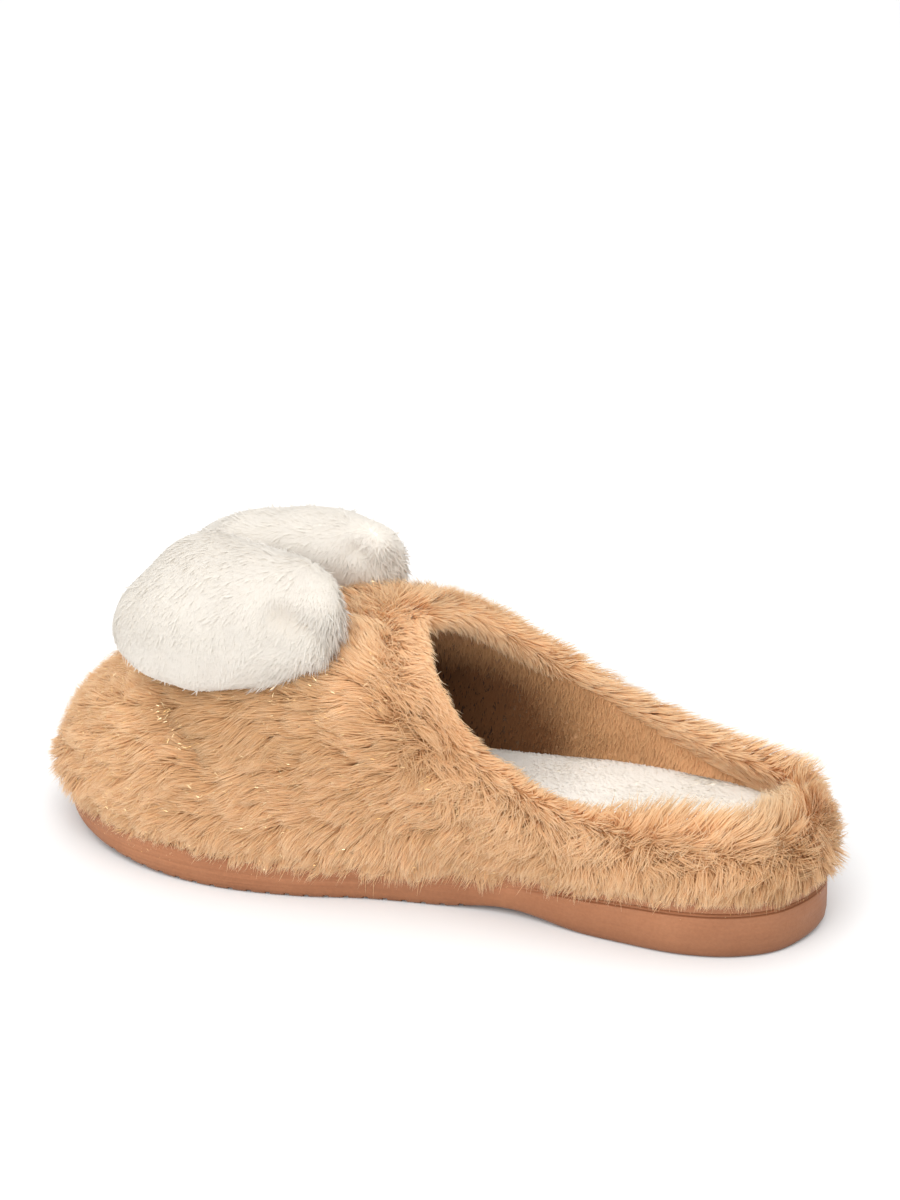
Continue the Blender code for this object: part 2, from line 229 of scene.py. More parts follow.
def closed_curve(keys, rows, at):
    """Rows given at growing keys on a closed loop of length 1, read at other keys."""
    keys, rows = np.asarray(keys, float), np.asarray(rows, float)
    k3 = np.r_[keys[-2:] - 1, keys, keys[:2] + 1]
    r3 = np.r_[rows[-2:], rows, rows[:2]]
    tangent = np.zeros_like(r3)
    before, after = np.diff(k3)[:-1, None], np.diff(k3)[1:, None]
    into, out = np.diff(r3, axis=0)[:-1] / before, np.diff(r3, axis=0)[1:] / after
    tangent[1:-1] = (into * after + out * before) / (before + after)
    at = np.asarray(at, float)
    k = np.clip(np.searchsorted(k3, at, side="right") - 1, 1, len(k3) - 3)
    h = (k3[k + 1] - k3[k])[:, None]
    f = (at - k3[k])[:, None] / h
    return (
        (1 + 2 * f) * (1 - f) ** 2 * r3[k]
        + f * (1 - f) ** 2 * h * tangent[k]
        + f * f * (3 - 2 * f) * r3[k + 1]
        + f * f * (f - 1) * h * tangent[k + 1]
    )


def sole_outline():
    """Points round the sole as x and distance from the heel, paired across the shoe:
    heel, medial side to the toe, toe, lateral side back to the heel."""
    ring = [(0.0, 0.0)]
    ring += [(m, s * SOLE_LENGTH) for s, m, _ in OUTLINE]
    ring += [(TOE_TIP_X, SOLE_LENGTH)]
    ring += [(-l, s * SOLE_LENGTH) for s, _, l in reversed(OUTLINE)]
    ring = np.array(ring)
    chord = np.sqrt(np.linalg.norm(np.roll(ring, -1, 0) - ring, axis=1))
    keys = np.r_[0, np.cumsum(chord)[:-1]] / chord.sum()
    fine = closed_curve(keys, ring, np.linspace(0, 1, 4000, endpoint=False))
    toe = int(fine[:, 1].argmax())
    heel = int(fine[:, 1].argmin())
    if heel > toe:
        heel -= len(fine)
    medial = np.take(fine, np.arange(heel, toe + 1), 0, mode="wrap")
    lateral = np.take(fine, np.arange(toe, heel + len(fine) + 1), 0, mode="wrap")[::-1]
    k = np.linspace(0, 1, STATIONS + 1)
    share = 0.72 * (1 - np.cos(np.pi * k)) / 2 + 0.28 * k
    low, high = fine[:, 1].min(), fine[:, 1].max()
    t = low + (high - low) * share
    m = np.interp(t, medial[:, 1], medial[:, 0])
    l = np.interp(t, lateral[:, 1], lateral[:, 0])
    return np.r_[np.c_[m, t], np.c_[l, t][-2:0:-1]]


OUT = sole_outline()
LEFT = np.roll(OUT, -1, 0) - np.roll(OUT, 1, 0)
NORMAL = np.c_[LEFT[:, 1], -LEFT[:, 0]] / np.linalg.norm(LEFT, axis=1)[:, None]
for _ in range(3):
    NORMAL = (np.roll(NORMAL, 1, 0) + 2 * NORMAL + np.roll(NORMAL, -1, 0)) / 4
NORMAL /= np.linalg.norm(NORMAL, axis=1)[:, None]
rim_height = column(RIM, 1)
insole_thick = column(INSOLE, 1)
wall_thick = column(WALL, 1)
fur_depth = column(WALL, 2)

# The frame's origin, read off the CAD outsole
SOLE_LOW, SOLE_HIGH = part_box("outsole")
SHIFT_X = (SOLE_LOW.x + SOLE_HIGH.x) / 2 / MM - (OUT[:, 0].min() + OUT[:, 0].max()) / 2
SHIFT_Y = (SOLE_LOW.y + SOLE_HIGH.y) / 2 / MM + (OUT[:, 1].min() + OUT[:, 1].max()) / 2


def world(p):
    """Shoe sizes (x, t, z) to the frame's axes, still in millimetres."""
    p = np.asarray(p, float)
    return np.stack([p[..., 0] + SHIFT_X, SHIFT_Y - p[..., 1], p[..., 2]], -1)


def smooth(x):
    x = np.clip(x, 0, 1)
    return x * x * (3 - 2 * x)


def unit(v):
    return v / np.maximum(np.linalg.norm(v, axis=-1, keepdims=True), 1e-9)


def drift(p, size, seed):
    """Smooth noise of about -1 to 1 whose patches are about size millimetres wide."""
    r = np.random.default_rng(seed)
    k = unit(r.normal(size=(9, 3))) * (2 * np.pi / (2 * size)) * r.uniform(0.7, 1.4, (9, 1))
    return np.sin(p @ k.T + r.uniform(0, 6.28, 9)).sum(-1) / 9**0.5


def tread_height(t):
    """Underside of the sole: flat heel and forefoot, raised waist, toe spring."""
    t = np.asarray(t, float)
    z = np.zeros_like(t)
    waist = np.clip((t - ARCH_FROM) / (ARCH_TO - ARCH_FROM), 0, 1)
    z += ARCH_RISE * np.sin(np.pi * waist) ** 2
    z += TOE_SPRING * np.clip((t - SPRING_FROM) / (SOLE_LENGTH - SPRING_FROM), 0, 1) ** 2
    z += HEEL_LIFT * np.clip((HEEL_LIFT_TO - t) / HEEL_LIFT_TO, 0, 1) ** 2
    return z


def ring_at(inset):
    return OUT - NORMAL * inset


# ----------------------------------------------------------------- the upper's form
def ray_rows():
    """The ray table read at every outline point."""
    step = np.linalg.norm(np.roll(OUT, -1, 0) - OUT, axis=1)
    along = np.r_[0, np.cumsum(step)[:-1]] / step.sum()
    half = len(OUT) // 2
    keys, rows = [], []
    for side, foot, *rest in RAYS:
        if side == "heel":
            key = 0.0
        elif side == "toe":
            key = along[half]
        elif side == "medial":
            key = np.interp(foot, OUT[: half + 1, 1], along[: half + 1])
        else:
            back = np.r_[OUT[half:, 1], OUT[0, 1]][::-1]
            key = np.interp(foot, back, np.r_[along[half:], 1.0][::-1])
        keys.append(key)
        rows.append(rest)
    return closed_curve(keys, rows, along)


RAY_ROWS = ray_rows()


def inner_surface(h):
    """Lining side of the upper: for each share h of the way up, a ring of points."""
    top_t, top_x, top_z, lift, flare, reach, drop = RAY_ROWS.T
    foot = ring_at(FEATHER_IN)
    p0 = np.c_[foot, rim_height(foot[:, 1]) + 0.3]
    p3 = np.c_[top_x, top_t, top_z]
    lean = foot - p3[:, :2] + 5.0 * NORMAL
    lean /= np.linalg.norm(lean, axis=1)[:, None]
    p1 = p0 + np.c_[NORMAL * flare[:, None], lift]
    p2 = p3 + np.c_[lean * reach[:, None], -drop]
    h = np.asarray(h, float)[:, None, None]
    return (1 - h) ** 3 * p0 + 3 * h * (1 - h) ** 2 * p1 + 3 * h * h * (1 - h) * p2 + h**3 * p3


def directions(h):
    """Unit directions on the inner surface: up the ray, and outwards through the wall."""
    d = 1e-3
    here = inner_surface(h)
    low, high = np.clip(h - d, 0, 1), np.clip(h + d, 0, 1)
    up = unit(inner_surface(high) - inner_surface(low))
    side = np.roll(here, -1, 1) - np.roll(here, 1, 1)
    out = unit(np.cross(side, up))
    middle = here.mean((0, 1))
    if ((here - middle) * out).sum() < 0:
        out = -out
    return up, out


def to_line(p, points):
    """Distance from points p to a line through the given points."""
    best = np.full(p.shape[:-1], 1e9)
    for a, b in zip(points, points[1:]):
        a, b = np.array(a), np.array(b)
        f = np.clip(((p - a) @ (b - a)) / ((b - a) @ (b - a)), 0, 1)
        best = np.minimum(best, np.linalg.norm(p - (a + f[..., None] * (b - a)), axis=-1))
    return best


SKIN_OUT, SKIN_RIM, SKIN_IN = 46, 9, 30


def backing():
    """The cloth under the fur as rows of points: up the outside from the sole's edge,
    over the rim, and down the lining to the footbed."""
    h = np.linspace(0, 1, SKIN_OUT) ** 1.1
    up, out = directions(h)
    depth = wall_thick(h) - fur_depth(h)
    outer = inner_surface(h) + out * depth[:, None, None]
    for sink, wide, *points in CREASES:
        outer -= out * (sink * np.exp(-((to_line(outer, points) / wide) ** 2)))[..., None]
    outer[..., 2] = np.maximum(outer[..., 2], rim_height(outer[..., 1]) + 0.35)
    inner = inner_surface(np.linspace(1, 0, SKIN_IN))
    middle, radius = (inner[0] + outer[-1]) / 2, depth[-1] / 2
    turn = np.linspace(0, np.pi, SKIN_RIM + 2)[1:-1]
    rim = [middle + radius * (np.cos(a) * out[-1] + np.sin(a) * up[-1]) for a in turn]
    return world(np.concatenate([outer, np.array(rim), inner]))


SKIN = backing()
CREST = SKIN_OUT + SKIN_RIM // 2
STEP = np.linalg.norm(np.diff(SKIN, axis=0), axis=2)
ARC = np.concatenate([np.zeros((1, SKIN.shape[1])), np.cumsum(STEP, 0)])
FROM_CREST = ARC[CREST][None] - ARC          # above zero outside, below zero inside
ALONG = unit(np.gradient(SKIN, axis=0))      # up the outside, then down the inside
ROUND = np.roll(SKIN, -1, 1) - np.roll(SKIN, 1, 1)
SKIN_N = unit(np.cross(ROUND, ALONG))
if (SKIN_N[10] * (SKIN[10] - SKIN.mean((0, 1)))).sum() < 0:
    SKIN_N = -SKIN_N
# Along the collar towards the heel, fading out where the two sides meet
RAY = np.arange(SKIN.shape[1])
SIDE = np.where(RAY <= STATIONS, -1.0, 1.0)
FROM_ENDS = np.minimum(np.abs(RAY - STATIONS), np.minimum(RAY, 2 * STATIONS - RAY))
COMB = unit(ROUND) * (SIDE * np.clip(FROM_ENDS / 14.0, 0, 1))[None, :, None]


# ----------------------------------------------------------------- mesh helpers
def add_mesh(name, points, faces, material, smooth_faces=True, sharp=None):
    """An object from points in millimetres and faces as index lists."""
    mesh = bpy.data.meshes.new(name)
    mesh.from_pydata((np.asarray(points) * MM).tolist(), [], [tuple(f) for f in faces])
    mesh.materials.append(material)
    mesh.update()
    bm = bmesh.new()
    bm.from_mesh(mesh)
    bmesh.ops.recalc_face_normals(bm, faces=bm.faces)
    bm.to_mesh(mesh)
    bm.free()
    if smooth_faces:
        mesh.shade_smooth()
    if sharp:
        mesh.set_sharp_from_angle(angle=sharp)
    obj = bpy.data.objects.new(name, mesh)
    bpy.context.scene.collection.objects.link(obj)
    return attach(obj, "root") or obj


def grid_faces(rows, cols, closed):
    """Quads over rows of points, each row closed on itself; closed joins last to first."""
    j, i = np.meshgrid(np.arange(rows if closed else rows - 1), np.arange(cols), indexing="ij")
    k, m = (j + 1) % rows, (i + 1) % cols
    return np.stack([j * cols + i, j * cols + m, k * cols + m, k * cols + i], -1).reshape(-1, 4)


def scatter(grid, weight, count, rng):
    """Random places on a grid of closed rows, spread evenly by area times weight."""
    a, d = grid[:-1], grid[1:]
    b, c = np.roll(a, -1, 1), np.roll(d, -1, 1)
    area = np.linalg.norm(np.cross(c - a, d - b), axis=2) / 2
    share = area * (weight[:-1] + weight[1:]) / 2
    pick = rng.choice(share.size, count, p=share.ravel() / share.sum())
    j, i = np.divmod(pick, grid.shape[1])
    return j + rng.random(count), i + rng.random(count)


def read(field, j, i):
    """A grid's field between its points."""
    j0, i0 = np.floor(j).astype(int), np.floor(i).astype(int)
    j0 = np.minimum(j0, field.shape[0] - 2)
    i1 = (i0 + 1) % field.shape[1]
    fj, fi = j - j0, i - i0
    if field.ndim == 3:
        fj, fi = fj[:, None], fi[:, None]
    low = field[j0, i0] * (1 - fi) + field[j0, i1] * fi
    high = field[j0 + 1, i0] * (1 - fi) + field[j0 + 1, i1] * fi
    return low * (1 - fj) + high * fj


def curves(root, normal, flow, length, lift_root, lift_tip, rows):
    """Strand centre lines: from the root along the flow, their lift off the cloth
    changing from root to tip. Gives (strands, rows + 1, 3)."""
    at = (np.arange(rows) + 0.5) / rows
    lift = lift_root[:, None] + (lift_tip - lift_root)[:, None] * at**0.8
    step = (length / rows)[:, None, None] * (
        np.cos(lift)[..., None] * flow[:, None] + np.sin(lift)[..., None] * normal[:, None]
    )
    return np.concatenate([root[:, None], root[:, None] + np.cumsum(step, 1)], 1)


def turned(flow, normal, angle):
    angle = angle[:, None]
    return flow * np.cos(angle) + np.cross(normal, flow) * np.sin(angle)


def nearest(points, centres):
    tree = KDTree(len(centres))
    for k, p in enumerate(centres.tolist()):
        tree.insert(p, k)
    tree.balance()
    return np.array([tree.find(p)[1] for p in points.tolist()])


def add_strands(name, line, normal, width, tone, roll, material, taper, soft):
    """Tapered ribbons along centre lines, one mesh. Map "strand" holds each strand's tone,
    which also carries painted light and shade, and the way along it; map "OFBake" the same
    with a little width. soft draws the shading normals from the ribbon's own (0) to the
    pile's surface (1)."""
    n, rows = len(line), line.shape[1] - 1
    along = np.gradient(line, axis=1)
    along = unit(along)
    side = unit(np.cross(along, normal[:, None]))
    other = np.cross(along, side)
    side = side * np.cos(roll)[:, None, None] + other * np.sin(roll)[:, None, None]
    half = side[:, :rows] * (width[:, None] * np.asarray(taper)[None, :rows] / 2)[..., None]
    verts = np.empty((n, 2 * rows + 1, 3), np.float32)
    verts[:, 0 : 2 * rows : 2] = line[:, :rows] - half
    verts[:, 1 : 2 * rows : 2] = line[:, :rows] + half
    verts[:, 2 * rows] = line[:, rows]
    per = 2 * rows + 1
    loop, starts = [], []
    for r in range(rows - 1):
        starts.append(len(loop))
        loop += [2 * r, 2 * r + 1, 2 * r + 3, 2 * r + 2]
    starts.append(len(loop))
    loop += [2 * rows - 2, 2 * rows - 1, 2 * rows]
    loop, starts = np.array(loop), np.array(starts)
    mesh = bpy.data.meshes.new(name)
    mesh.vertices.add(n * per)
    mesh.vertices.foreach_set("co", (verts * MM).astype(np.float32).ravel())
    mesh.loops.add(n * len(loop))
    mesh.loops.foreach_set("vertex_index", (np.arange(n)[:, None] * per + loop).astype(np.int32).ravel())
    mesh.polygons.add(n * rows)
    mesh.polygons.foreach_set("loop_start", (np.arange(n)[:, None] * len(loop) + starts).astype(np.int32).ravel())
    mesh.update(calc_edges=True)
    mesh.polygons.foreach_set("use_smooth", np.ones(n * rows, bool))
    way = np.where(np.arange(per) == per - 1, 1.0, (np.arange(per) // 2) / rows)
    edge = np.where(np.arange(per) == per - 1, 0.0, np.where(np.arange(per) % 2, 1.0, -1.0))
    for map_name, wide in (("strand", 0.0), ("OFBake", 0.004)):
        uv = np.empty((n, len(loop), 2), np.float32)
        uv[..., 0] = 0.02 + 0.96 * tone[:, None] + wide * edge[loop]
        uv[..., 1] = 0.01 + 0.98 * way[loop]
        mesh.uv_layers.new(name=map_name).data.foreach_set("uv", uv.ravel())
    face = np.cross(side, along)
    face *= np.sign((face * normal[:, None]).sum(-1, keepdims=True) + 1e-6)
    shade = unit(face * (1 - soft) + normal[:, None] * soft)
    lit = np.empty((n, per, 3), np.float32)
    lit[:, 0 : 2 * rows : 2] = lit[:, 1 : 2 * rows : 2] = shade[:, :rows]
    lit[:, 2 * rows] = shade[:, rows]
    mesh.normals_split_custom_set_from_vertices(lit.reshape(-1, 3))
    mesh.materials.append(material)
    obj = bpy.data.objects.new(name, mesh)
    bpy.context.scene.collection.objects.link(obj)
    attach(obj, "root")
    return obj


# ----------------------------------------------------------------- materials
def rgb(r, g, b):
    """A colour read as 8-bit screen values, as linear light."""
    out = []
    for v in (r, g, b):
        v /= 255
        out.append(v / 12.92 if v <= 0.04045 else ((v + 0.055) / 1.055) ** 2.4)
    return (*out, 1.0)


class Nodes:
    """A material's nodes by short calls."""

    def __init__(self, name):
        self.material = bpy.data.materials.new(name)
        self.material.use_nodes = True
        self.tree = self.material.node_tree
        self.shader = self.tree.nodes["Principled BSDF"]

    def add(self, kind, **values):
        node = self.tree.nodes.new(kind)
        for key, value in values.items():
            if key in node.inputs:
                node.inputs[key].default_value = value
            else:
                setattr(node, key, value)
        return node

    def link(self, out, into):
        self.tree.links.new(out, into)
        return self

    def set(self, **values):
        for key, value in values.items():
            self.shader.inputs[key.replace("_", " ")].default_value = value

    def ramp(self, value, *stops):
        node = self.add("ShaderNodeValToRGB")
        elements = node.color_ramp.elements
        while len(elements) < len(stops):
            elements.new(0.5)
        for element, (at, colour) in zip(elements, stops):
            element.position, element.color = at, colour
        self.link(value, node.inputs["Fac"])
        return node.outputs["Color"]

    def mix(self, kind, factor, a, b):
        node = self.add("ShaderNodeMix", data_type="RGBA", blend_type=kind)
        for socket, value in ((node.inputs[0], factor), (node.inputs[6], a), (node.inputs[7], b)):
            if isinstance(value, bpy.types.NodeSocket):
                self.link(value, socket)
            else:
                socket.default_value = value
        return node.outputs[2]

    def noise(self, scale, detail=2.0, rough=0.5, vector=None):
        node = self.add("ShaderNodeTexNoise", Scale=scale, Detail=detail, Roughness=rough)
        if vector is None:
            vector = self.add("ShaderNodeTexCoord").outputs["Object"]
        self.link(vector, node.inputs["Vector"])
        return node.outputs["Fac"]

    def bump(self, height, strength, distance, under=None):
        node = self.add("ShaderNodeBump", Strength=strength, Distance=distance)
        self.link(height, node.inputs["Height"])
        if under is not None:
            self.link(under, node.inputs["Normal"])
        return node.outputs["Normal"]


def strand_material(name, along, tones, rough, sheen, sheen_tint, thin):
    m = Nodes(name)
    uv = m.add("ShaderNodeUVMap", uv_map="strand").outputs["UV"]
    split = m.add("ShaderNodeSeparateXYZ")
    m.link(uv, split.inputs[0])
    base = m.ramp(split.outputs["Y"], *along)
    tone = m.ramp(split.outputs["X"], *tones)
    colour = m.mix("MULTIPLY", 1.0, base, tone)
    m.link(colour, m.shader.inputs["Base Color"])
    m.set(Roughness=rough, Sheen_Weight=sheen, Sheen_Tint=sheen_tint, Sheen_Roughness=0.5)
    m.set(Specular_IOR_Level=0.25)
    # thin fibres also pass light on
    through = m.add("ShaderNodeBsdfTranslucent")
    m.link(colour, through.inputs["Color"])
    both = m.add("ShaderNodeMixShader", Fac=thin)
    m.link(m.shader.outputs[0], both.inputs[1]).link(through.outputs[0], both.inputs[2])
    m.link(both.outputs[0], m.tree.nodes["Material Output"].inputs["Surface"])
    return m.material


# the ramp along each strand darkens it towards the root: painted shade deep in the pile; the tones carry random
# variation and painted light and shade
FUR = strand_material(
    "fur_strands",
    (
        (0.0, rgb(186, 130, 79)),
        (0.35, rgb(225, 178, 128)),
        (0.75, rgb(240, 203, 157)),
        (1.0, rgb(249, 224, 189)),
    ),
    ((0.0, (0.82, 0.77, 0.70, 1)), (0.45, (0.97, 0.96, 0.95, 1)), (1.0, (1.05, 1.09, 1.14, 1))),
    0.62,
    0.25,
    (1.0, 0.86, 0.72, 1),
    0.42,
)
# the collar's rim and the throat, where the pile stands open: a lighter copy of the fur, painted light down to its
# roots against the shade in the pile
FUR_RIM_PAINTED_LIGHT = strand_material(
    "fur_rim_painted_light_strands",
    (
        (0.0, rgb(220, 171, 121)),
        (0.35, rgb(235, 193, 145)),
        (0.75, rgb(244, 211, 168)),
        (1.0, rgb(251, 229, 197)),
    ),
    ((0.0, (0.82, 0.77, 0.70, 1)), (0.45, (0.98, 0.98, 0.98, 1)), (1.0, (1.06, 1.15, 1.25, 1))),
    0.62,
    0.25,
    (1.0, 0.86, 0.72, 1),
    0.5,
)
# its tones run down to near black: painted shade deep in the toe
LINING = strand_material(
    "lining_plush",
    ((0.0, rgb(214, 166, 118)), (1.0, rgb(230, 184, 136))),
    ((0.0, (0.28, 0.19, 0.13, 1)), (0.5, (0.84, 0.79, 0.74, 1)), (1.0, (1.2, 1.22, 1.26, 1))),
    0.85,
    0.15,
    (1.0, 0.88, 0.76, 1),
    0.2,
)
PLUSH = strand_material(
    "ear_plush_strands",
    ((0.0, rgb(232, 228, 221)), (0.4, rgb(234, 230, 223)), (1.0, rgb(236, 232, 226))),
    ((0.0, (0.88, 0.81, 0.73, 1)), (0.5, (0.95, 0.94, 0.925, 1)), (1.0, (1.09, 1.09, 1.09, 1))),
    0.85,
    0.35,
    (1.0, 0.98, 0.95, 1),
    0.4,
)
FLEECE = strand_material(
    "insole_fleece_strands",
    ((0.0, rgb(232, 226, 216)), (0.5, rgb(236, 231, 223)), (1.0, rgb(239, 235, 228))),
    ((0.0, (0.90, 0.885, 0.855, 1)), (0.5, (0.955, 0.95, 0.94, 1)), (1.0, (1.06, 1.06, 1.06, 1))),
    0.85,
    0.15,
    (1.0, 0.97, 0.92, 1),
    0.15,
)


def cloth_material(name, dark, light, scale=260.0):
    m = Nodes(name)
    m.link(m.ramp(m.noise(scale, 3.0), (0.3, dark), (0.7, light)), m.shader.inputs["Base Color"])
    m.link(m.bump(m.noise(scale * 5, 2.0), 0.5, 0.0006), m.shader.inputs["Normal"])
    m.set(Roughness=0.9, Specular_IOR_Level=0.2, Sheen_Weight=0.2)
    return m.material


def lining_cloth():
    """The lining's backing, with painted shade deep in the toe."""
    m = Nodes("lining_cloth")
    place = m.add("ShaderNodeTexCoord").outputs["Object"]
    where = m.add("ShaderNodeSeparateXYZ")
    m.link(place, where.inputs[0])
    deep = m.add("ShaderNodeMapRange")
    for key, value in (("From Min", 0.046), ("From Max", 0.004), ("To Min", 0.0), ("To Max", 1.0)):
        deep.inputs[key].default_value = value
    m.link(where.outputs["Y"], deep.inputs["Value"])
    below = m.add("ShaderNodeMapRange")
    for key, value in (("From Min", 0.076), ("From Max", 0.05), ("To Min", 0.0), ("To Max", 1.0)):
        below.inputs[key].default_value = value
    m.link(where.outputs["Z"], below.inputs["Value"])
    both = m.add("ShaderNodeMath", operation="MULTIPLY")
    m.link(deep.outputs["Result"], both.inputs[0]).link(below.outputs["Result"], both.inputs[1])
    shade = m.ramp(both.outputs[0], (0.0, rgb(220, 172, 126)), (1.0, rgb(72, 43, 25)))
    weave = m.ramp(m.noise(260.0, 3.0, 0.5, place), (0.3, (0.92, 0.91, 0.90, 1)), (0.7, (1.0, 1.0, 1.0, 1)))
    m.link(m.mix("MULTIPLY", 1.0, shade, weave), m.shader.inputs["Base Color"])
    m.link(m.bump(m.noise(1300.0, 2.0, 0.5, place), 0.5, 0.0006), m.shader.inputs["Normal"])
    m.set(Roughness=0.9, Specular_IOR_Level=0.2, Sheen_Weight=0.2)
    return m.material


def sole_material():
    m = Nodes("sole_rubber")
    place = m.add("ShaderNodeTexCoord").outputs["Object"]
    patches = m.ramp(m.noise(28.0, 3.0, 0.55, place), (0.3, rgb(151, 99, 67)), (0.72, rgb(167, 114, 80)))
    speck = m.ramp(m.noise(900.0, 2.0, 0.6, place), (0.35, (0.93, 0.92, 0.91, 1)), (0.65, (1.02, 1.02, 1.02, 1)))
    shape = m.add("ShaderNodeMapping")
    shape.inputs["Scale"].default_value = (14.0, 14.0, 900.0)
    m.link(place, shape.inputs["Vector"])
    lines = m.noise(1.0, 2.0, 0.6, shape.outputs["Vector"])
    streak = m.ramp(lines, (0.38, (0.90, 0.88, 0.86, 1)), (0.62, (1.04, 1.04, 1.04, 1)))
    where = m.add("ShaderNodeSeparateXYZ")
    m.link(place, where.inputs[0])
    ahead = m.add("ShaderNodeMapRange")
    for key, value in (("From Min", 0.06), ("From Max", -0.01), ("To Min", 0.2), ("To Max", 1.0)):
        ahead.inputs[key].default_value = value
    m.link(where.outputs["Y"], ahead.inputs["Value"])
    plain = m.mix("MULTIPLY", 1.0, patches, speck)
    lined = m.mix("MULTIPLY", ahead.outputs["Result"], plain, streak)
    # darker towards the bottom: painted shade where the rounded lower edge turns under
    foot = m.add("ShaderNodeMapRange")
    for key, value in (("From Min", 0.0), ("From Max", 0.012), ("To Min", 0.0), ("To Max", 1.0)):
        foot.inputs[key].default_value = value
    m.link(where.outputs["Z"], foot.inputs["Value"])
    low = m.ramp(foot.outputs["Result"], (0.0, (0.70, 0.67, 0.65, 1)), (0.5, (0.92, 0.91, 0.90, 1)), (1.0, (1.05, 1.04, 1.03, 1)))
    # painted light towards the toe and painted shade at the heel end
    length = m.add("ShaderNodeMapRange")
    for key, value in (("From Min", -0.13), ("From Max", 0.13), ("To Min", 0.0), ("To Max", 1.0)):
        length.inputs[key].default_value = value
    m.link(where.outputs["Y"], length.inputs["Value"])
    painted_light_and_shade_along = m.ramp(length.outputs["Result"], (0.0, (1.09, 1.09, 1.07, 1)), (0.35, (1.02, 1.0, 0.98, 1)),
                  (0.8, (1.0, 1.0, 1.0, 1)), (1.0, (0.85, 0.86, 0.87, 1)))
    low = m.mix("MULTIPLY", 1.0, low, painted_light_and_shade_along)
    m.link(m.mix("MULTIPLY", 1.0, lined, low), m.shader.inputs["Base Color"])
    grain = m.bump(m.noise(1500.0, 2.0, 0.6, place), 0.25, 0.0003)
    m.link(m.bump(lines, 0.5, 0.0004, grain), m.shader.inputs["Normal"])
    m.link(m.ramp(m.noise(160.0, 2.0, 0.5, place), (0.3, (0.46, 0.46, 0.46, 1)), (0.7, (0.62, 0.62, 0.62, 1))),
           m.shader.inputs["Roughness"])
    m.set(Specular_IOR_Level=0.35)
    return m.material


def glint_material():
    m = Nodes("gold_thread")
    m.link(m.ramp(m.noise(400.0, 1.0), (0.35, rgb(236, 190, 120)), (0.65, rgb(255, 236, 190))),
           m.shader.inputs["Base Color"])
    m.set(Metallic=1.0, Roughness=0.28)
    return m.material


# ----------------------------------------------------------------- ears' form
def ear_frame(roll, turn):
    hang = Matrix.Rotation(np.radians(turn), 3, "Z") @ Matrix.Rotation(np.radians(EAR_PITCH), 3, "X")
    return np.array(hang @ Matrix.Rotation(np.radians(roll), 3, "Y"))


def ear_full(b):
    b = np.clip(b, -0.9999, 0.9999)
    return (1 - np.abs(b) ** EAR_BLUNT) ** (1 / EAR_BLUNT) / np.sqrt(1 - b * b)


def ear_swell(a, b):
    """The ear is fuller along its inner edge, towards the toe."""
    return 1 + EAR_INNER * np.maximum(0, -a) * np.exp(-(((b + 0.3) / 0.45) ** 2))


def ear_place(a, b, c, ear):
    """Points of the ear's round form to the frame: a across to the outer side, b along to
    the heel, c up."""
    name, x, t, z, roll, turn = ear
    wide, long, high = EAR_SIZE
    full = ear_full(b)
    q = np.stack([a * np.sign(roll) * wide * full * ear_swell(a, b), b * long,
                  c * high * full - EAR_DROOP * np.maximum(0, a) ** 2], -1) @ ear_frame(roll, turn).T
    return world(np.stack([x + q[..., 0], t - q[..., 1], z + q[..., 2]], -1))


def ear_surface(ear, rows=72, cols=112):
    """The ear's outside as rows of points from its toe end to its heel end, with its
    dents, the dents' lines, and each point's place along the ear."""
    polar = np.linspace(np.pi, 0, rows + 2)[1:-1, None]
    round_ = np.linspace(0, 2 * np.pi, cols, endpoint=False)[None]
    b = np.cos(polar) * np.ones_like(round_)
    a, c = np.sin(polar) * np.cos(round_), np.sin(polar) * np.sin(round_)
    p = ear_place(a, b, c, ear)
    n = grid_normals(p)
    sunk, lines = p.copy(), []
    for deep, wide, *points in EAR_DENTS:
        line = [ear_place(*(np.array([v]) for v in point), ear)[0] for point in points]
        sunk -= n * (deep * np.exp(-((to_line(p, line) / wide) ** 2)))[..., None]
        lines.append(line)
    sunk += n * (0.35 * drift(p, 10.0, 17))[..., None]
    return sunk, lines, b


def ear_depth(p, ear):
    """Squared size of points p in the ear's own round form: under 1 is inside."""
    name, x, t, z, roll, turn = ear
    wide, long, high = EAR_SIZE
    q = np.stack([p[..., 0] - SHIFT_X - x, t - (SHIFT_Y - p[..., 1]), p[..., 2] - z], -1) @ ear_frame(roll, turn)
    b = q[..., 1] / long
    full = ear_full(b)
    a = np.sign(roll) * q[..., 0] / (wide * full)
    a = a / ear_swell(a, b)
    c = (q[..., 2] + EAR_DROOP * np.maximum(0, a) ** 2) / (high * full)
    return a * a + b * b + c * c


def grid_normals(grid):
    n = unit(np.cross(np.roll(grid, -1, 1) - np.roll(grid, 1, 1), np.gradient(grid, axis=0)))
    return n if (n * (grid - grid.mean((0, 1)))).sum() > 0 else -n


# ----------------------------------------------------------------- fur
FORWARD, DOWN, HEELWARD = np.array([0.0, -1, 0]), np.array([0.0, 0, -1]), np.array([0.0, 1, 0])


def flat(v, n):
    """Vector v laid into the surface with normals n."""
    return v - (n @ v)[:, None] * n


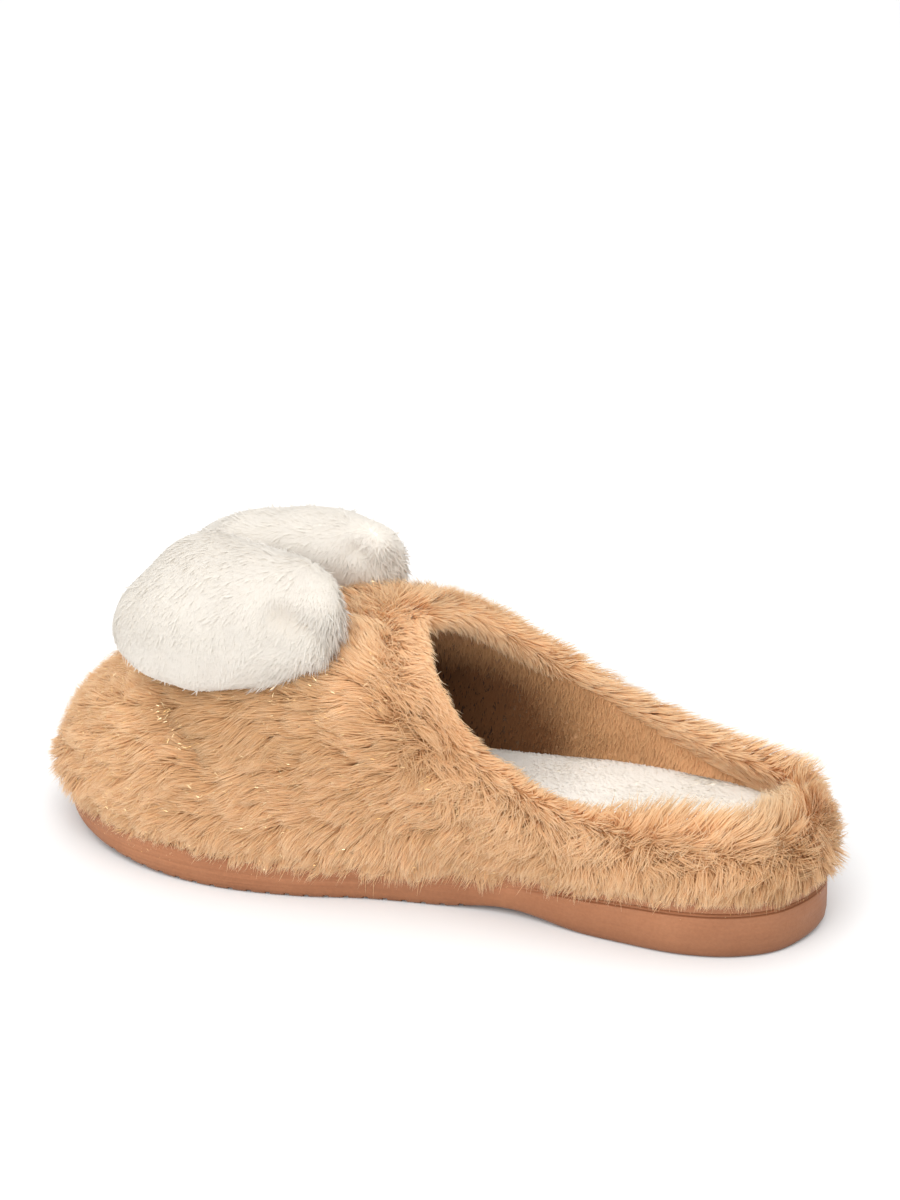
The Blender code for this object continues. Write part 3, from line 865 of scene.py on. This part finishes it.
def fur_flow(p, n, along, comb, from_crest, from_sole, stray):
    """Which way the fur lies: over the collar's rim above a loose parting, towards the toe
    and down to the sole below it."""
    part = 11.0 + 3.0 * drift(p, 16.0, 31) + stray
    t = SHIFT_Y - p[:, 1]
    back = smooth(1 - t / 24.0)
    part += 2.5 * back - 6.0 * smooth(1 - t / 90.0)
    over = smooth((part - from_crest) / 8.0 + 0.5)[:, None]
    low = smooth(1 - from_sole / 36.0)
    heel = smooth(1 - t / 90.0)
    ahead = (1 - (0.55 - 0.35 * heel) * smooth(1 - from_sole / 22.0))[:, None] * flat(FORWARD, n)
    # behind the ears it is brushed up towards the middle of the vamp
    rise = 1.1 * smooth((p[:, 2] - 50.0) / 20.0) * smooth(1 - (from_crest - 8.0) / 34.0)
    fall = (0.2 + 0.35 * heel + (1.2 - 0.75 * heel) * low - 0.3 * rise)[:, None] * flat(DOWN, n)
    inward = (0.7 * rise * np.clip((SHIFT_X - p[:, 0]) / 15.0, -1, 1))[:, None] * flat(np.array([1.0, 0, 0]), n)
    below = unit(ahead + fall + inward)
    # on the low sides the collar's fur hangs out over the parting, by the throat it stands
    tall = smooth((p[:, 2] - 46.0) / 20.0)
    over_rim = 0.42 - 0.75 * (1 - tall) * (1 - back) * smooth((from_crest - 2.0) / 6.0)
    above = unit(over_rim[:, None] * along + 0.9 * comb)
    stand = np.exp(-(((from_crest - part) / 6.0) ** 2))
    return unit(below * (1 - over) + above * over), over[:, 0], stand


def fur_places(count, weight, rng):
    j, i = scatter(SKIN, weight, count, rng)
    p, n = read(SKIN, j, i), unit(read(SKIN_N, j, i))
    along = unit(read(ALONG, j, i))
    return p, n, along, read(COMB, j, i), read(FROM_CREST, j, i), read(ARC, j, i)


def build_fur():
    rng = np.random.default_rng(11)
    weight = np.ones(SKIN.shape[:2])
    weight[np.abs(FROM_CREST) < 4] = 1.5
    weight *= 1 + 0.9 * smooth((SKIN[..., 2] - 58) / 18.0) * smooth(1 - (FROM_CREST - 6) / 24.0)
    weight[FROM_CREST < -INNER_FUR - 13 * smooth(1 - (SHIFT_Y - SKIN[..., 1]) / 88)] = 0
    weight[(FROM_CREST < -1.0) & (SKIN[..., 0] > SHIFT_X) & (SKIN[..., 2] > 64)] = 0
    for ear in EARS:
        weight[(ear_depth(SKIN + 8 * SKIN_N, ear) < 0.72) & (FROM_CREST > 12)] = 0
    # locks: small ones of a few strands, drawn together in larger ones
    big = fur_places(1500, weight, rng)
    small = fur_places(9000, weight, rng)
    root = fur_places(126000, weight, rng)

    def shape(places, turn, sigma, length_low, length_high):
        p, n, along, comb, crest, sole = places
        flow, over, stand = fur_flow(p, n, along, comb, crest, sole, rng.normal(0, 5.0, len(p)))
        angle = 0.30 * drift(p, 20.0, 5) + 0.25 * drift(p, 8.0, 6) + turn + rng.normal(0, sigma, len(p))
        flow = turned(flow, n, angle)
        rim = smooth(1 - np.abs(crest - 2) / 12.0)
        heel = smooth(1 - (SHIFT_Y - p[:, 1]) / 26.0)
        t = SHIFT_Y - p[:, 1]
        waist = smooth(1 - np.abs(t - 130) / 50)
        fringe = 6.0 - 3.0 * waist + 3.0 * smooth(1 - t / 80) + 2.4 * smooth(1 - np.abs(t - 205) / 35)
        length = 13.0 - 3.0 * rim - fringe * smooth(1 - sole / 17.0) + 1.0 * heel * (1 - rim)
        # uneven ends along the sole
        uneven = 1 + 0.28 * smooth(1 - sole / 14.0) * rng.normal(size=len(p))
        length = length * rng.uniform(length_low, length_high, len(p)) * np.clip(uneven, 0.6, 1.7)
        # the fur lies closest on the inner side's rim beside the instep
        low = rim * smooth((p[:, 2] - 46) / 14.0) * (p[:, 0] > SHIFT_X)
        length = length * (1 - 0.45 * low) * (1 - 0.3 * low * smooth((p[:, 2] - 58) / 10.0))
        lift = 46 + 8 * drift(p, 9.0, 8) + rng.normal(0, 6, len(p)) + 8 * stand + 4 * rim + 6 * heel - 14 * low
        throat = stand * smooth((p[:, 2] - 58) / 18.0)
        lift += 8 * throat
        lift += rng.normal(0, 9, len(p)) * low
        loose = low * (rng.random(len(p)) < 0.16)
        lift, length = lift + 20 * loose, length * (1 + 0.45 * loose)
        tip = 10 + rng.normal(0, 8, len(p)) + 6 * stand - 14 * low + 8 * throat
        # along the low sides the rim's fur stands up
        crown = smooth(1 - np.abs(crest + 0.5) / 5.5) * smooth((t - 4) / 14) * (1 - low)
        # on the outer side's low rim it lies along the rim, towards the heel
        lay = smooth((SHIFT_X - p[:, 0]) / 12.0) * smooth(1 - (crest - 0.5) / 4.0)
        lay *= smooth(1 - (p[:, 2] - 52) / 16.0) * smooth((t - 5) / 12.0)
        flow = unit(flow * (1 - lay[:, None]) + lay[:, None] * (flat(HEELWARD, n) - 0.25 * comb))
        up = smooth(1 - np.abs(crest) / 5.0)
        lift = lift * (1 - lay) + (30 + 18 * up + rng.normal(0, 6, len(p))) * lay
        tip = tip * (1 - lay) + (14 + 16 * up + rng.normal(0, 6, len(p))) * lay
        length = length + 2.5 * up * lay
        crown = crown * (1 - lay)
        lift, tip = lift + 26 * crown, tip + 30 * crown
        within = smooth(-crest / 4.0)
        end = smooth(1 - (t - 8) / 22.0) * smooth((5 - crest) / 6.0)
        lift, tip = lift + 24 * end * within, tip + 34 * end
        within = within * (1 - end)
        length = length + (2.0 + 3.0 * smooth(1 - t / 24.0)) * end
        length = length * (1 - (0.35 + 0.15 * smooth((p[:, 2] - 58) / 14.0)) * within)
        taller = np.where(p[:, 0] > SHIFT_X, 8.0 * np.minimum(1, 1.5 * smooth(1 - np.abs(t - 36) / 38)) - 4.2 * smooth(1 - np.abs(t - 88) / 26),
                          6.5 * smooth(1 - np.abs(t - 26) / 28))
        length += (taller - 1.6) * crown
        fill = smooth((p[:, 2] - 66) / 12.0) * smooth(1 - np.abs(crest - 14) / 11.0)
        length = length - 0.8 * fill
        # full at the toe's tip
        tip_end = smooth((t - 236) / 14.0) * smooth((sole - 3) / 8.0) * smooth((38 - p[:, 2]) / 14.0)
        length, lift = length + 2.8 * tip_end, lift + 13 * tip_end
        return flow, length, np.radians(lift), np.radians(tip)

    rows = 2
    share = np.linspace(0, 1, rows + 1)[None, :, None]
    lift_out = 6.0
    big_flow, big_len, big_up, big_tip = shape(big, 0.0, 0.36, 0.9, 1.15)
    big_line = curves(big[0], big[1], big_flow, big_len, big_up, big_tip, rows)
    own = nearest(small[0] + lift_out * small[1], big[0] + lift_out * big[1])
    flow, length, up, tip = shape(small, 0.0, 0.24, 0.85, 1.15)
    small_line = curves(small[0], small[1], flow, length, up, tip, rows)
    small_line += 0.55 * share**1.2 * (big_line[own] - small_line)
    in_small = nearest(root[0] + lift_out * root[1], small[0] + lift_out * small[1])
    flow, length, up, tip = shape(root, 0.0, 0.18, 0.72, 1.08)
    line = curves(root[0], root[1], flow, length, up, tip, rows)
    pull = np.where(rng.random(len(line)) < 0.16, 0.2, rng.uniform(0.45, 0.8, len(line)))
    pull = pull * (1 - 0.45 * smooth(1 - np.maximum(root[4], 0) / 9.0))
    pull = pull * (1 - 0.65 * smooth((root[0][:, 2] - 58) / 18.0) * smooth(1 - (root[4] - 6) / 24.0))
    line += pull[:, None, None] * share**1.2 * (small_line[in_small] - line)

    clear = np.ones(len(line), bool)
    for ear in EARS:
        clear &= (ear_depth(line[:, 1], ear) > 0.78) & (ear_depth(line[:, 2], ear) > 0.80)
    tone = 0.55 + 0.07 * rng.normal(size=len(small[0]))[in_small] + 0.06 * rng.normal(size=len(line))
    tone += 0.09 * rng.normal(size=len(big[0]))[own][in_small]
    # painted shadow along where the ears rest on the fur
    under = np.min([ear_depth(line[:, 1], ear) for ear in EARS], 0)
    tone -= (0.4 + 0.25 * smooth((80 - root[0][:, 2]) / 14.0)) * smooth(1 - (under - 0.9) / 0.8)
    # a wide painted shade on the fur below the ears, heelwards of their toe ends
    behind = smooth((212 - SHIFT_Y + root[0][:, 1]) / 24.0)
    tone -= 0.4 * smooth(1 - (under - 0.9) / 8.0) * smooth((76 - root[0][:, 2]) / 18.0) * behind
    local = np.stack([root[0][:, 0] - SHIFT_X, SHIFT_Y - root[0][:, 1], root[0][:, 2]], -1)
    # painted shade along the creases
    for sink, wide, *points in CREASES:
        tone -= 0.28 * np.exp(-((to_line(local, points) / 6.0) ** 2))
    # painted light along the rim, more on its inner side in the shade of the opening
    tone += 0.12 * smooth(1 - np.abs(root[4]) / 8.0) + 0.25 * smooth((3 - root[4]) / 6.0)
    # painted light at the throat, against the shade in its open pile
    throat = smooth((root[0][:, 2] - 58) / 18.0) * smooth(1 - (root[4] - 6) / 30.0)
    tone += 0.28 * throat
    # painted light on the inner side just below the rim beside the instep
    beside = smooth((root[0][:, 0] - SHIFT_X) / 10.0) * smooth(1 - np.abs(SHIFT_Y - root[0][:, 1] - 85) / 50)
    tone += 0.25 * beside * smooth(1 - np.abs(root[4] - 7) / 10.0)
    # painted light in the shaded inner corner of the heel on the outer side
    tone += 0.35 * smooth(1 - (local[:, 1] - 30) / 45.0) * smooth((4 - root[4]) / 6.0) * smooth(1 - local[:, 0] / 14.0)
    # painted shade on the heel end, on the inner side and on the outside below the rim
    tone -= 0.35 * smooth(1 - (local[:, 1] - 8) / 26.0) * smooth((local[:, 0] - 8) / 14.0)
    tone -= 0.2 * smooth(1 - (local[:, 1] - 4) / 20.0) * smooth((root[4] - 9) / 8.0)
    # painted shade under the inner ear's heel end
    ear_end_painted_shade = np.linalg.norm((local - np.array([32.0, 159.0, 76.0])) / np.array([10.0, 15.0, 10.0]), axis=1)
    tone -= 0.42 * np.exp(-(ear_end_painted_shade**2))
    # under the outer side's rim by the throat the fur is in the shade of the pile above it
    tone -= 0.6 * smooth((root[0][:, 2] - 56) / 10.0) * smooth(-root[4] / 3.0) * smooth((4 - local[:, 0]) / 8.0)
    tone = np.clip(tone + 0.08 * drift(root[0], 14.0, 3), 0, 1)
    # ribbons that stand on the rim face across it, to the outside or into the opening
    t = SHIFT_Y - root[0][:, 1]
    outer = smooth((SHIFT_X - root[0][:, 0]) / 12.0) * smooth(1 - (root[0][:, 2] - 52) / 16.0)
    upright = (smooth(1 - np.abs(root[4] + 0.5) / 5.5) * smooth((t - 18) / 16) * (1 - outer))[:, None]
    middle = np.stack([0 * t + SHIFT_X, np.minimum(root[0][:, 1], SHIFT_Y - 40), root[0][:, 2]], -1)
    across = unit(root[0] - middle) * np.where(root[4] > 0.5, 1.0, -1.0)[:, None] + np.array([0, 0, 0.1])
    facing = unit(root[1] * (1 - upright) + unit(across) * upright)
    width = rng.uniform(0.26, 0.42, len(line))
    roll = rng.normal(0, 0.45, len(line))
    group = np.where(root[4] < 16, 0, np.where(t > 196, 1, np.where(root[0][:, 0] > SHIFT_X, 2, 3)))
    mixed = rng.normal(0, 2.5, (2, len(line)))
    group[root[4] + mixed[0] < 3.5] = 4
    group[(root[0][:, 2] + mixed[1] > 76) & (root[4] + mixed[0] < 18)] = 4
    names = ("fur_collar", "fur_toe", "fur_medial", "fur_lateral", "fur_rim")
    for k, name in enumerate(names):
        use = clear & (group == k)
        piece = add_strands(name, line[use], facing[use], width[use], tone[use], roll[use],
                            FUR_RIM_PAINTED_LIGHT if k == 4 else FUR, (1.0, 0.85), 0.75)
        print(name, int(use.sum()))

    # gold threads lying on the fur
    more = weight * (0.45 + 2.0 * np.exp(-(((SHIFT_Y - SKIN[..., 1] - 224) / 13) ** 2)))
    more[FROM_CREST < 15] = 0
    glint = fur_places(6800, more, rng)
    flow, length, up, tip = shape(glint, 0.0, 0.6, 0.07, 0.16)
    start = glint[0] + glint[1] * rng.uniform(4.6, 7.4, len(glint[0]))[:, None]
    line = curves(start, glint[1], flow, length, tip * 0 + 0.15, tip * 0, 2)
    keep = np.ones(len(line), bool)
    for ear in EARS:
        keep &= ear_depth(line[:, 1], ear) > 1.05
    piece = add_strands("fur_gold_threads", line[keep], glint[1][keep], np.full(keep.sum(), 0.10),
                        rng.random(keep.sum()), rng.normal(0, 0.9, keep.sum()), glint_material(), (1.0, 0.9), 0.0)


def build_upper_shell():
    rows, cols = SKIN.shape[:2]
    cloth = cloth_material("fur_backing", rgb(190, 142, 98), rgb(204, 158, 112))
    shell = add_mesh("upper_shell", SKIN.reshape(-1, 3), grid_faces(rows, cols, True), cloth)
    shell.data.materials.append(lining_cloth())
    inner = np.repeat((FROM_CREST.mean(1) < 4 - INNER_FUR).astype(np.int32), cols)
    shell.data.polygons.foreach_set("material_index", inner)
    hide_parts("upper")
    # short plush of the lining, below the turned-in fur
    rng = np.random.default_rng(23)
    weight = smooth((-FROM_CREST - INNER_FUR + 5) / 4)
    weight[:CREST] = 0
    j, i = scatter(SKIN, weight, 60000, rng)
    p, n = read(SKIN, j, i), unit(read(SKIN_N, j, i))
    flow = unit(flat(DOWN, n) + 0.3 * rng.normal(size=p.shape))
    lift = np.radians(17 + 3 * rng.normal(size=len(p)))
    line = curves(p, n, flow, rng.uniform(2.2, 3.2, len(p)), lift, lift, 1)
    t = SHIFT_Y - p[:, 1]
    # painted shade deep in the toe and low down; painted light towards the heel
    deep = smooth((t - 76) / 48) * smooth((76 - p[:, 2]) / 28) + 0.25 * smooth((56 - p[:, 2]) / 22) * smooth((t - 56) / 30)
    tone = np.clip(0.82 + 0.16 * smooth(1 - (t - 30) / 45) - 0.9 * deep + 0.06 * drift(p, 8.0, 25) + 0.04 * rng.normal(size=len(p)), 0, 1)
    piece = add_strands("lining_plush", line, n, rng.uniform(0.7, 1.0, len(p)), tone,
                        rng.normal(0, 0.12, len(p)), LINING, (1.0,), 1.0)


def build_ears():
    body = cloth_material("ear_body", rgb(226, 220, 211), rgb(231, 226, 218))
    for k, ear in enumerate(EARS):
        rng = np.random.default_rng(41 + k)
        outside, dents, share = ear_surface(ear)
        n = grid_normals(outside)
        skin = outside - EAR_PILE * n
        rows, cols = skin.shape[:2]
        points = np.concatenate([skin.reshape(-1, 3), [skin[0].mean(0)], [skin[-1].mean(0)]])
        faces = [list(f) for f in grid_faces(rows, cols, False)]
        for i in range(cols):
            m = (i + 1) % cols
            faces.append([rows * cols, m, i])
            faces.append([rows * cols + 1, (rows - 1) * cols + i, (rows - 1) * cols + m])
        piece = add_mesh(ear[0] + "_body", points, faces, body)
        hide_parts(ear[0])
        # dense plush, where the ear stands clear of the vamp
        cad = frame["nodes"][ear[0]].data
        solid = BVHTree.FromPolygons([v.co / MM for v in cad.vertices], [p.vertices[:] for p in cad.polygons])
        j, i = scatter(skin, np.ones((rows, cols)), 42000, rng)
        p, normal = read(skin, j, i), unit(read(n, j, i))
        inside = []
        for q in p.tolist():
            hit = solid.find_nearest(q)
            inside.append((Vector(q) - hit[0]).dot(hit[1]) < 0.9)
        inside = np.array(inside)
        p, normal = p[inside], normal[inside]
        rear = smooth((read(share, j[inside], i[inside]) - 0.62) / 0.35)
        side = np.sign(ear[4])
        flow = 0.45 * flat(FORWARD, normal) + flat(DOWN, normal) + 0.25 * flat(np.array([side, 0, 0.0]), normal)
        # round the dents the plush stands away from them
        far = np.min([to_line(p, line) for line in dents], 0)
        close = np.exp(-((far / 6.5) ** 2))[:, None]
        middle = np.concatenate(dents)
        apart = p - middle[nearest(p, middle)]
        apart = unit(apart - (apart * normal).sum(-1, keepdims=True) * normal)
        flow = unit(unit(flow) * (1 - 0.5 * close) + 0.12 * apart * close)
        count = len(p)
        flow = turned(flow, normal, 0.3 * drift(p, 9.0, 61 + k) + rng.normal(0, 0.22 + 0.3 * rear, count))
        # tufts stand out along the lower edge behind the middle and at the heel end
        below = smooth((0.1 - normal[:, 2]) / 0.6) * smooth(read(share, j[inside], i[inside]) / 0.5)
        tufted = np.maximum(rear * smooth((0.35 - normal[:, 2]) / 0.5), below)
        lift = np.radians(np.clip(6 + rng.normal(0, 2, count), 2, 14) + 18 * tufted + 10 * rear * below)
        long = rng.uniform(2.4, 3.4, count) * (1 + 0.6 * tufted + 0.7 * rear * below)
        wild = rng.random(count) < 0.015 + 0.06 * below + 0.3 * rear * smooth((0.6 - normal[:, 2]) / 0.5)
        lift, long = lift + np.radians(20) * wild, long * (1 + 0.4 * wild)
        line = curves(p + 0.15 * normal, normal, flow, long, lift, lift * (0.1 + 0.5 * np.maximum(tufted, wild)), 2)
        tuft = nearest(p, p[:1800])
        pull = (rng.uniform(0.0, 0.06, count) + 0.3 * tufted + 0.2 * rear * below)[:, None, None]
        line += pull * np.linspace(0, 1, 3)[None, :, None] * (line[:1800][tuft] - line)
        # painted shade in and round the dents; painted light at the heel end and on faces that turn sideways and down
        shade = 0.4 * np.exp(-((far / 4.5) ** 2)) - (0.22 if k == 0 else 0.32) * rear - 0.36 * smooth((0.35 - normal[:, 2]) / 0.8)
        tone = 0.56 + 0.018 * rng.normal(size=1800)[tuft] + 0.02 * rng.normal(size=count) - shade
        tone = np.clip(tone, 0, 1)
        pile = add_strands(ear[0] + "_plush", line, normal, rng.uniform(0.4, 0.58, count), tone,
                           rng.normal(0, 0.04, count), PLUSH, (1.0, 0.85), 1.0)
        print(ear[0], count)


def build_insole():
    """A fleece pad that follows the sole's top, softly rounded at its edge."""
    half = len(OUT) // 2
    h = np.linspace(0, 1, 40)
    wall = inner_surface(h)
    high = wall[..., 2] - rim_height(wall[..., 1])

    def lining_at(up):
        """Points of the lining at a height over the sole's top, one for each ray."""
        at = [np.interp(u, high[:, k], h) for k, u in enumerate(up)]
        ring = [[np.interp(a, h, wall[:, k, 0]), np.interp(a, h, wall[:, k, 1])] for k, a in enumerate(at)]
        return np.array(ring) - 0.7 * NORMAL

    def sides(ring, t):
        """Half lines across the shoe at stations t: their middles and half widths."""
        medial, lateral = ring[: half + 1], np.r_[ring[half:], ring[:1]][::-1]
        m = np.interp(t, medial[:, 1], medial[:, 0])
        l = np.interp(t, lateral[:, 1], lateral[:, 0])
        return (m + l) / 2, np.maximum((m - l) / 2, 0.5)

    upper_ring = lining_at(insole_thick(OUT[:, 1]) - 3.0)
    lower_ring = ring_at(FEATHER_IN + 0.6)
    k = np.linspace(0, 1, STATIONS - 1)
    spread = 0.72 * (1 - np.cos(np.pi * k)) / 2 + 0.28 * k
    t = upper_ring[:, 1].min() + 0.4 + (np.ptp(upper_ring[:, 1]) - 0.8) * spread
    across = np.sin(np.linspace(-1, 1, 29) * np.pi / 2)
    mid, wide = sides(upper_ring, t)
    ends = np.minimum(t - t[0], t[-1] - t) / 5.0
    edge = np.minimum(1 - np.abs(across)[None], 1.0) * wide[:, None] / 4.0
    fullness = np.minimum(smooth(edge), smooth(ends)[:, None])
    top = np.empty((len(t), len(across), 3))
    top[..., 0] = mid[:, None] + wide[:, None] * across[None]
    top[..., 1] = t[:, None]
    top[..., 2] = (rim_height(t) + insole_thick(t))[:, None] - 3.2 + 2.0 * fullness
    low = top.copy()
    low_t = lower_ring[:, 1].min() + 0.4 + (np.ptp(lower_ring[:, 1]) - 0.8) * spread
    low_mid, low_wide = sides(lower_ring, low_t)
    low[..., 0] = low_mid[:, None] + low_wide[:, None] * across[None]
    low[..., 1] = low_t[:, None]
    low[..., 2] = rim_height(low_t)[:, None] + 0.4
    rows, cols = top.shape[:2]
    points = np.concatenate([world(top).reshape(-1, 3), world(low).reshape(-1, 3)])
    faces = []
    size = rows * cols
    for j in range(rows - 1):
        for i in range(cols - 1):
            a = j * cols + i
            faces.append((a, a + 1, a + cols + 1, a + cols))
            faces.append((size + a + cols, size + a + cols + 1, size + a + 1, size + a))
    border = [i for i in range(cols)] + [j * cols + cols - 1 for j in range(1, rows)]
    border += [(rows - 1) * cols + i for i in range(cols - 2, -1, -1)] + [j * cols for j in range(rows - 2, 0, -1)]
    for a, b in zip(border, border[1:] + border[:1]):
        faces.append((a, b, size + b, size + a))
    body = cloth_material("insole_body", rgb(238, 230, 216), rgb(245, 239, 228))
    piece = add_mesh("insole_pad", points, faces, body, sharp=0.9)
    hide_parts("insole")
    # fleece over the top
    rng = np.random.default_rng(53)
    grid = world(top)
    grid_n = unit(np.cross(np.gradient(grid, axis=1), np.gradient(grid, axis=0)))
    grid_n *= np.sign(grid_n[..., 2:3])
    weight = np.ones((rows, cols))
    weight[:, -1] = 0
    weight *= (1 - 0.75 * smooth((t - 165) / 30))[:, None]
    j, i = scatter(grid, weight, 36000, rng)
    bad = i > cols - 1.01
    j, i = j[~bad], np.minimum(i[~bad], cols - 1.02)
    p, n = read(grid, j, i), unit(read(grid_n, j, i))
    count = len(p)
    flow = turned(unit(flat(FORWARD, n)), n, 0.5 * drift(p, 10.0, 91) + 0.35 * rng.normal(size=count))
    lift = np.radians(np.clip(18 + 4 * rng.normal(size=count), 8, 32))
    line = curves(p, n, flow, rng.uniform(1.9, 2.9, count), lift, lift * 0.2, 2)
    tuft = nearest(p, p[:2600])
    line += 0.06 * np.linspace(0, 1, 3)[None, :, None] * (line[:2600][tuft] - line)
    # painted light towards the toe, where the vamp shades the footbed, and painted shade at the heel under the collar's
    # fur
    tone = np.clip(0.45 + 0.45 * smooth((SHIFT_Y - p[:, 1] - 45) / 45.0) + 0.05 * rng.normal(size=2600)[tuft] + 0.04 * rng.normal(size=count), 0, 1)
    pile = add_strands("insole_fleece", line, n, rng.uniform(0.5, 0.8, count), tone,
                       rng.normal(0, 0.1, count), FLEECE, (1.0, 0.85), 1.0)


def build_sole():
    rubber = sole_material()
    rings = []
    # the lower edge is rounder at the heel than along the forefoot
    edge = 0.62 - 0.12 * smooth((OUT[:, 1] - 70) / 60)
    # the two grooves run round the heel and fade out along the waist
    heel = smooth((104 - OUT[:, 1]) / 34)
    for inset, above, below in SOLE_WALL:
        band = below is not None and 3.9 < below < 6.0
        deep = 0.27 + (inset - 0.27) * heel if band else inset + 0 * heel
        ring = OUT - NORMAL * (inset * edge if below is None else deep)[:, None]
        t = ring[:, 1]
        z = tread_height(t) + above * edge if below is None else rim_height(t) - below
        rings.append(world(np.c_[ring, z]))
    n, rows = len(OUT), len(rings)
    faces = [list(f) for f in grid_faces(rows, n, False)]
    half = n // 2
    for base in (0, (rows - 1) * n):
        for i in range(half):
            corners = [i, i + 1]
            for c in ((n - i - 1) % n, (n - i) % n):
                if c not in corners:
                    corners.append(c)
            faces.append([base + c for c in corners])
    sole = add_mesh("outsole_rubber", np.concatenate(rings), faces, rubber)
    bm = bmesh.new()
    runs = [(18.0 + GROOVE_PITCH * k, HEEL_MARGIN) for k in range(8)]
    runs += [(113.0 + GROOVE_PITCH * k, -10.0) for k in range(20)]
    for t, margin in runs:
        high, low = float(tread_height(t)) + GROOVE_DEEP, -4.0
        right = np.interp(t, OUT[: half + 1, 1], OUT[: half + 1, 0]) - margin
        left = np.interp(t, OUT[half:, 1][::-1], OUT[half:, 0][::-1]) + margin
        for v in bmesh.ops.create_cube(bm, size=1.0)["verts"]:
            place = ((left + right) / 2 + v.co.x * (right - left), t - v.co.y * GROOVE_WIDE,
                     (high + low) / 2 + v.co.z * (high - low))
            v.co = Vector(world(place) * MM)
    cutter_mesh = bpy.data.meshes.new("tread_grooves")
    bm.to_mesh(cutter_mesh)
    bm.free()
    cutter = bpy.data.objects.new("tread_grooves", cutter_mesh)
    bpy.context.scene.collection.objects.link(cutter)
    cut = sole.modifiers.new("tread", "BOOLEAN")
    cut.operation, cut.object = "DIFFERENCE", cutter
    graph = bpy.context.evaluated_depsgraph_get()
    made = bpy.data.meshes.new_from_object(sole.evaluated_get(graph))
    sole.modifiers.clear()
    sole.data = made
    made.shade_smooth()
    made.set_sharp_from_angle(angle=0.6)
    bpy.data.objects.remove(cutter)
    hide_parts("outsole")


# ----------------------------------------------------------------- camera, light, floor
def build_stage():
    scene = bpy.context.scene
    scene.view_settings.view_transform = "Standard"
    scene.view_settings.look = "None"
    scene.cycles.diffuse_bounces = 8
    azimuth, elevation = math.radians(108.8), math.radians(30.0)
    back = Vector((math.sin(azimuth) * math.cos(elevation), -math.cos(azimuth) * math.cos(elevation),
                   math.sin(elevation)))
    right = Vector((math.cos(azimuth), math.sin(azimuth), 0))
    up = back.cross(right)
    target = Vector((SHIFT_X, SHIFT_Y - 128.0, 40.0)) * MM
    camera = bpy.data.cameras.new("camera")
    camera.lens, camera.sensor_width, camera.sensor_fit = 129.8, 36.0, "AUTO"
    camera.clip_start, camera.clip_end = 0.05, 50.0
    eye = bpy.data.objects.new("camera", camera)
    scene.collection.objects.link(eye)
    eye.location = target + back * 1.4
    look = (-back + 0.03518 * up + 0.00124 * right).normalized()
    eye.rotation_euler = look.to_track_quat("-Z", "Y").to_euler()
    scene.camera = eye

    paper = Nodes("floor_paper")
    paper.link(paper.ramp(paper.noise(3.0, 2.0), (0.3, (0.74, 0.74, 0.74, 1)), (0.7, (0.76, 0.76, 0.76, 1))),
               paper.shader.inputs["Base Color"])
    paper.set(Roughness=1.0, Specular_IOR_Level=0.0)
    mesh = bpy.data.meshes.new("floor")
    mesh.from_pydata([(-9, -9, 0), (9, -9, 0), (9, 9, 0), (-9, 9, 0)], [], [(0, 1, 2, 3)])
    mesh.materials.append(paper.material)
    floor = bpy.data.objects.new("floor", mesh)
    scene.collection.objects.link(floor)
    floor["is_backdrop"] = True

    world_ = bpy.data.worlds.new("studio")
    scene.world = world_
    world_.use_nodes = True
    world_.node_tree.nodes["Background"].inputs["Color"].default_value = (1, 1, 1, 1)
    world_.node_tree.nodes["Background"].inputs["Strength"].default_value = 0.96
    for name, place, size, power in (
        ("top", Vector((0.05, 0.05, 1.6)), 2.4, 13.0),
        ("key", -0.22 * right + 0.36 * up + 1.2 * back, 1.2, 11.5),
    ):
        lamp = bpy.data.lights.new(name, "AREA")
        lamp.shape, lamp.size, lamp.energy = "DISK", size, power
        obj = bpy.data.objects.new(name, lamp)
        scene.collection.objects.link(obj)
        obj.location = target + place
        obj.visible_camera = False
        obj.rotation_euler = (-place).to_track_quat("-Z", "Y").to_euler()


build_sole()
build_insole()
build_upper_shell()
build_ears()
build_fur()
build_stage()
bpy.context.view_layer.update()
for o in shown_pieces():
    o.data.calc_loop_triangles()
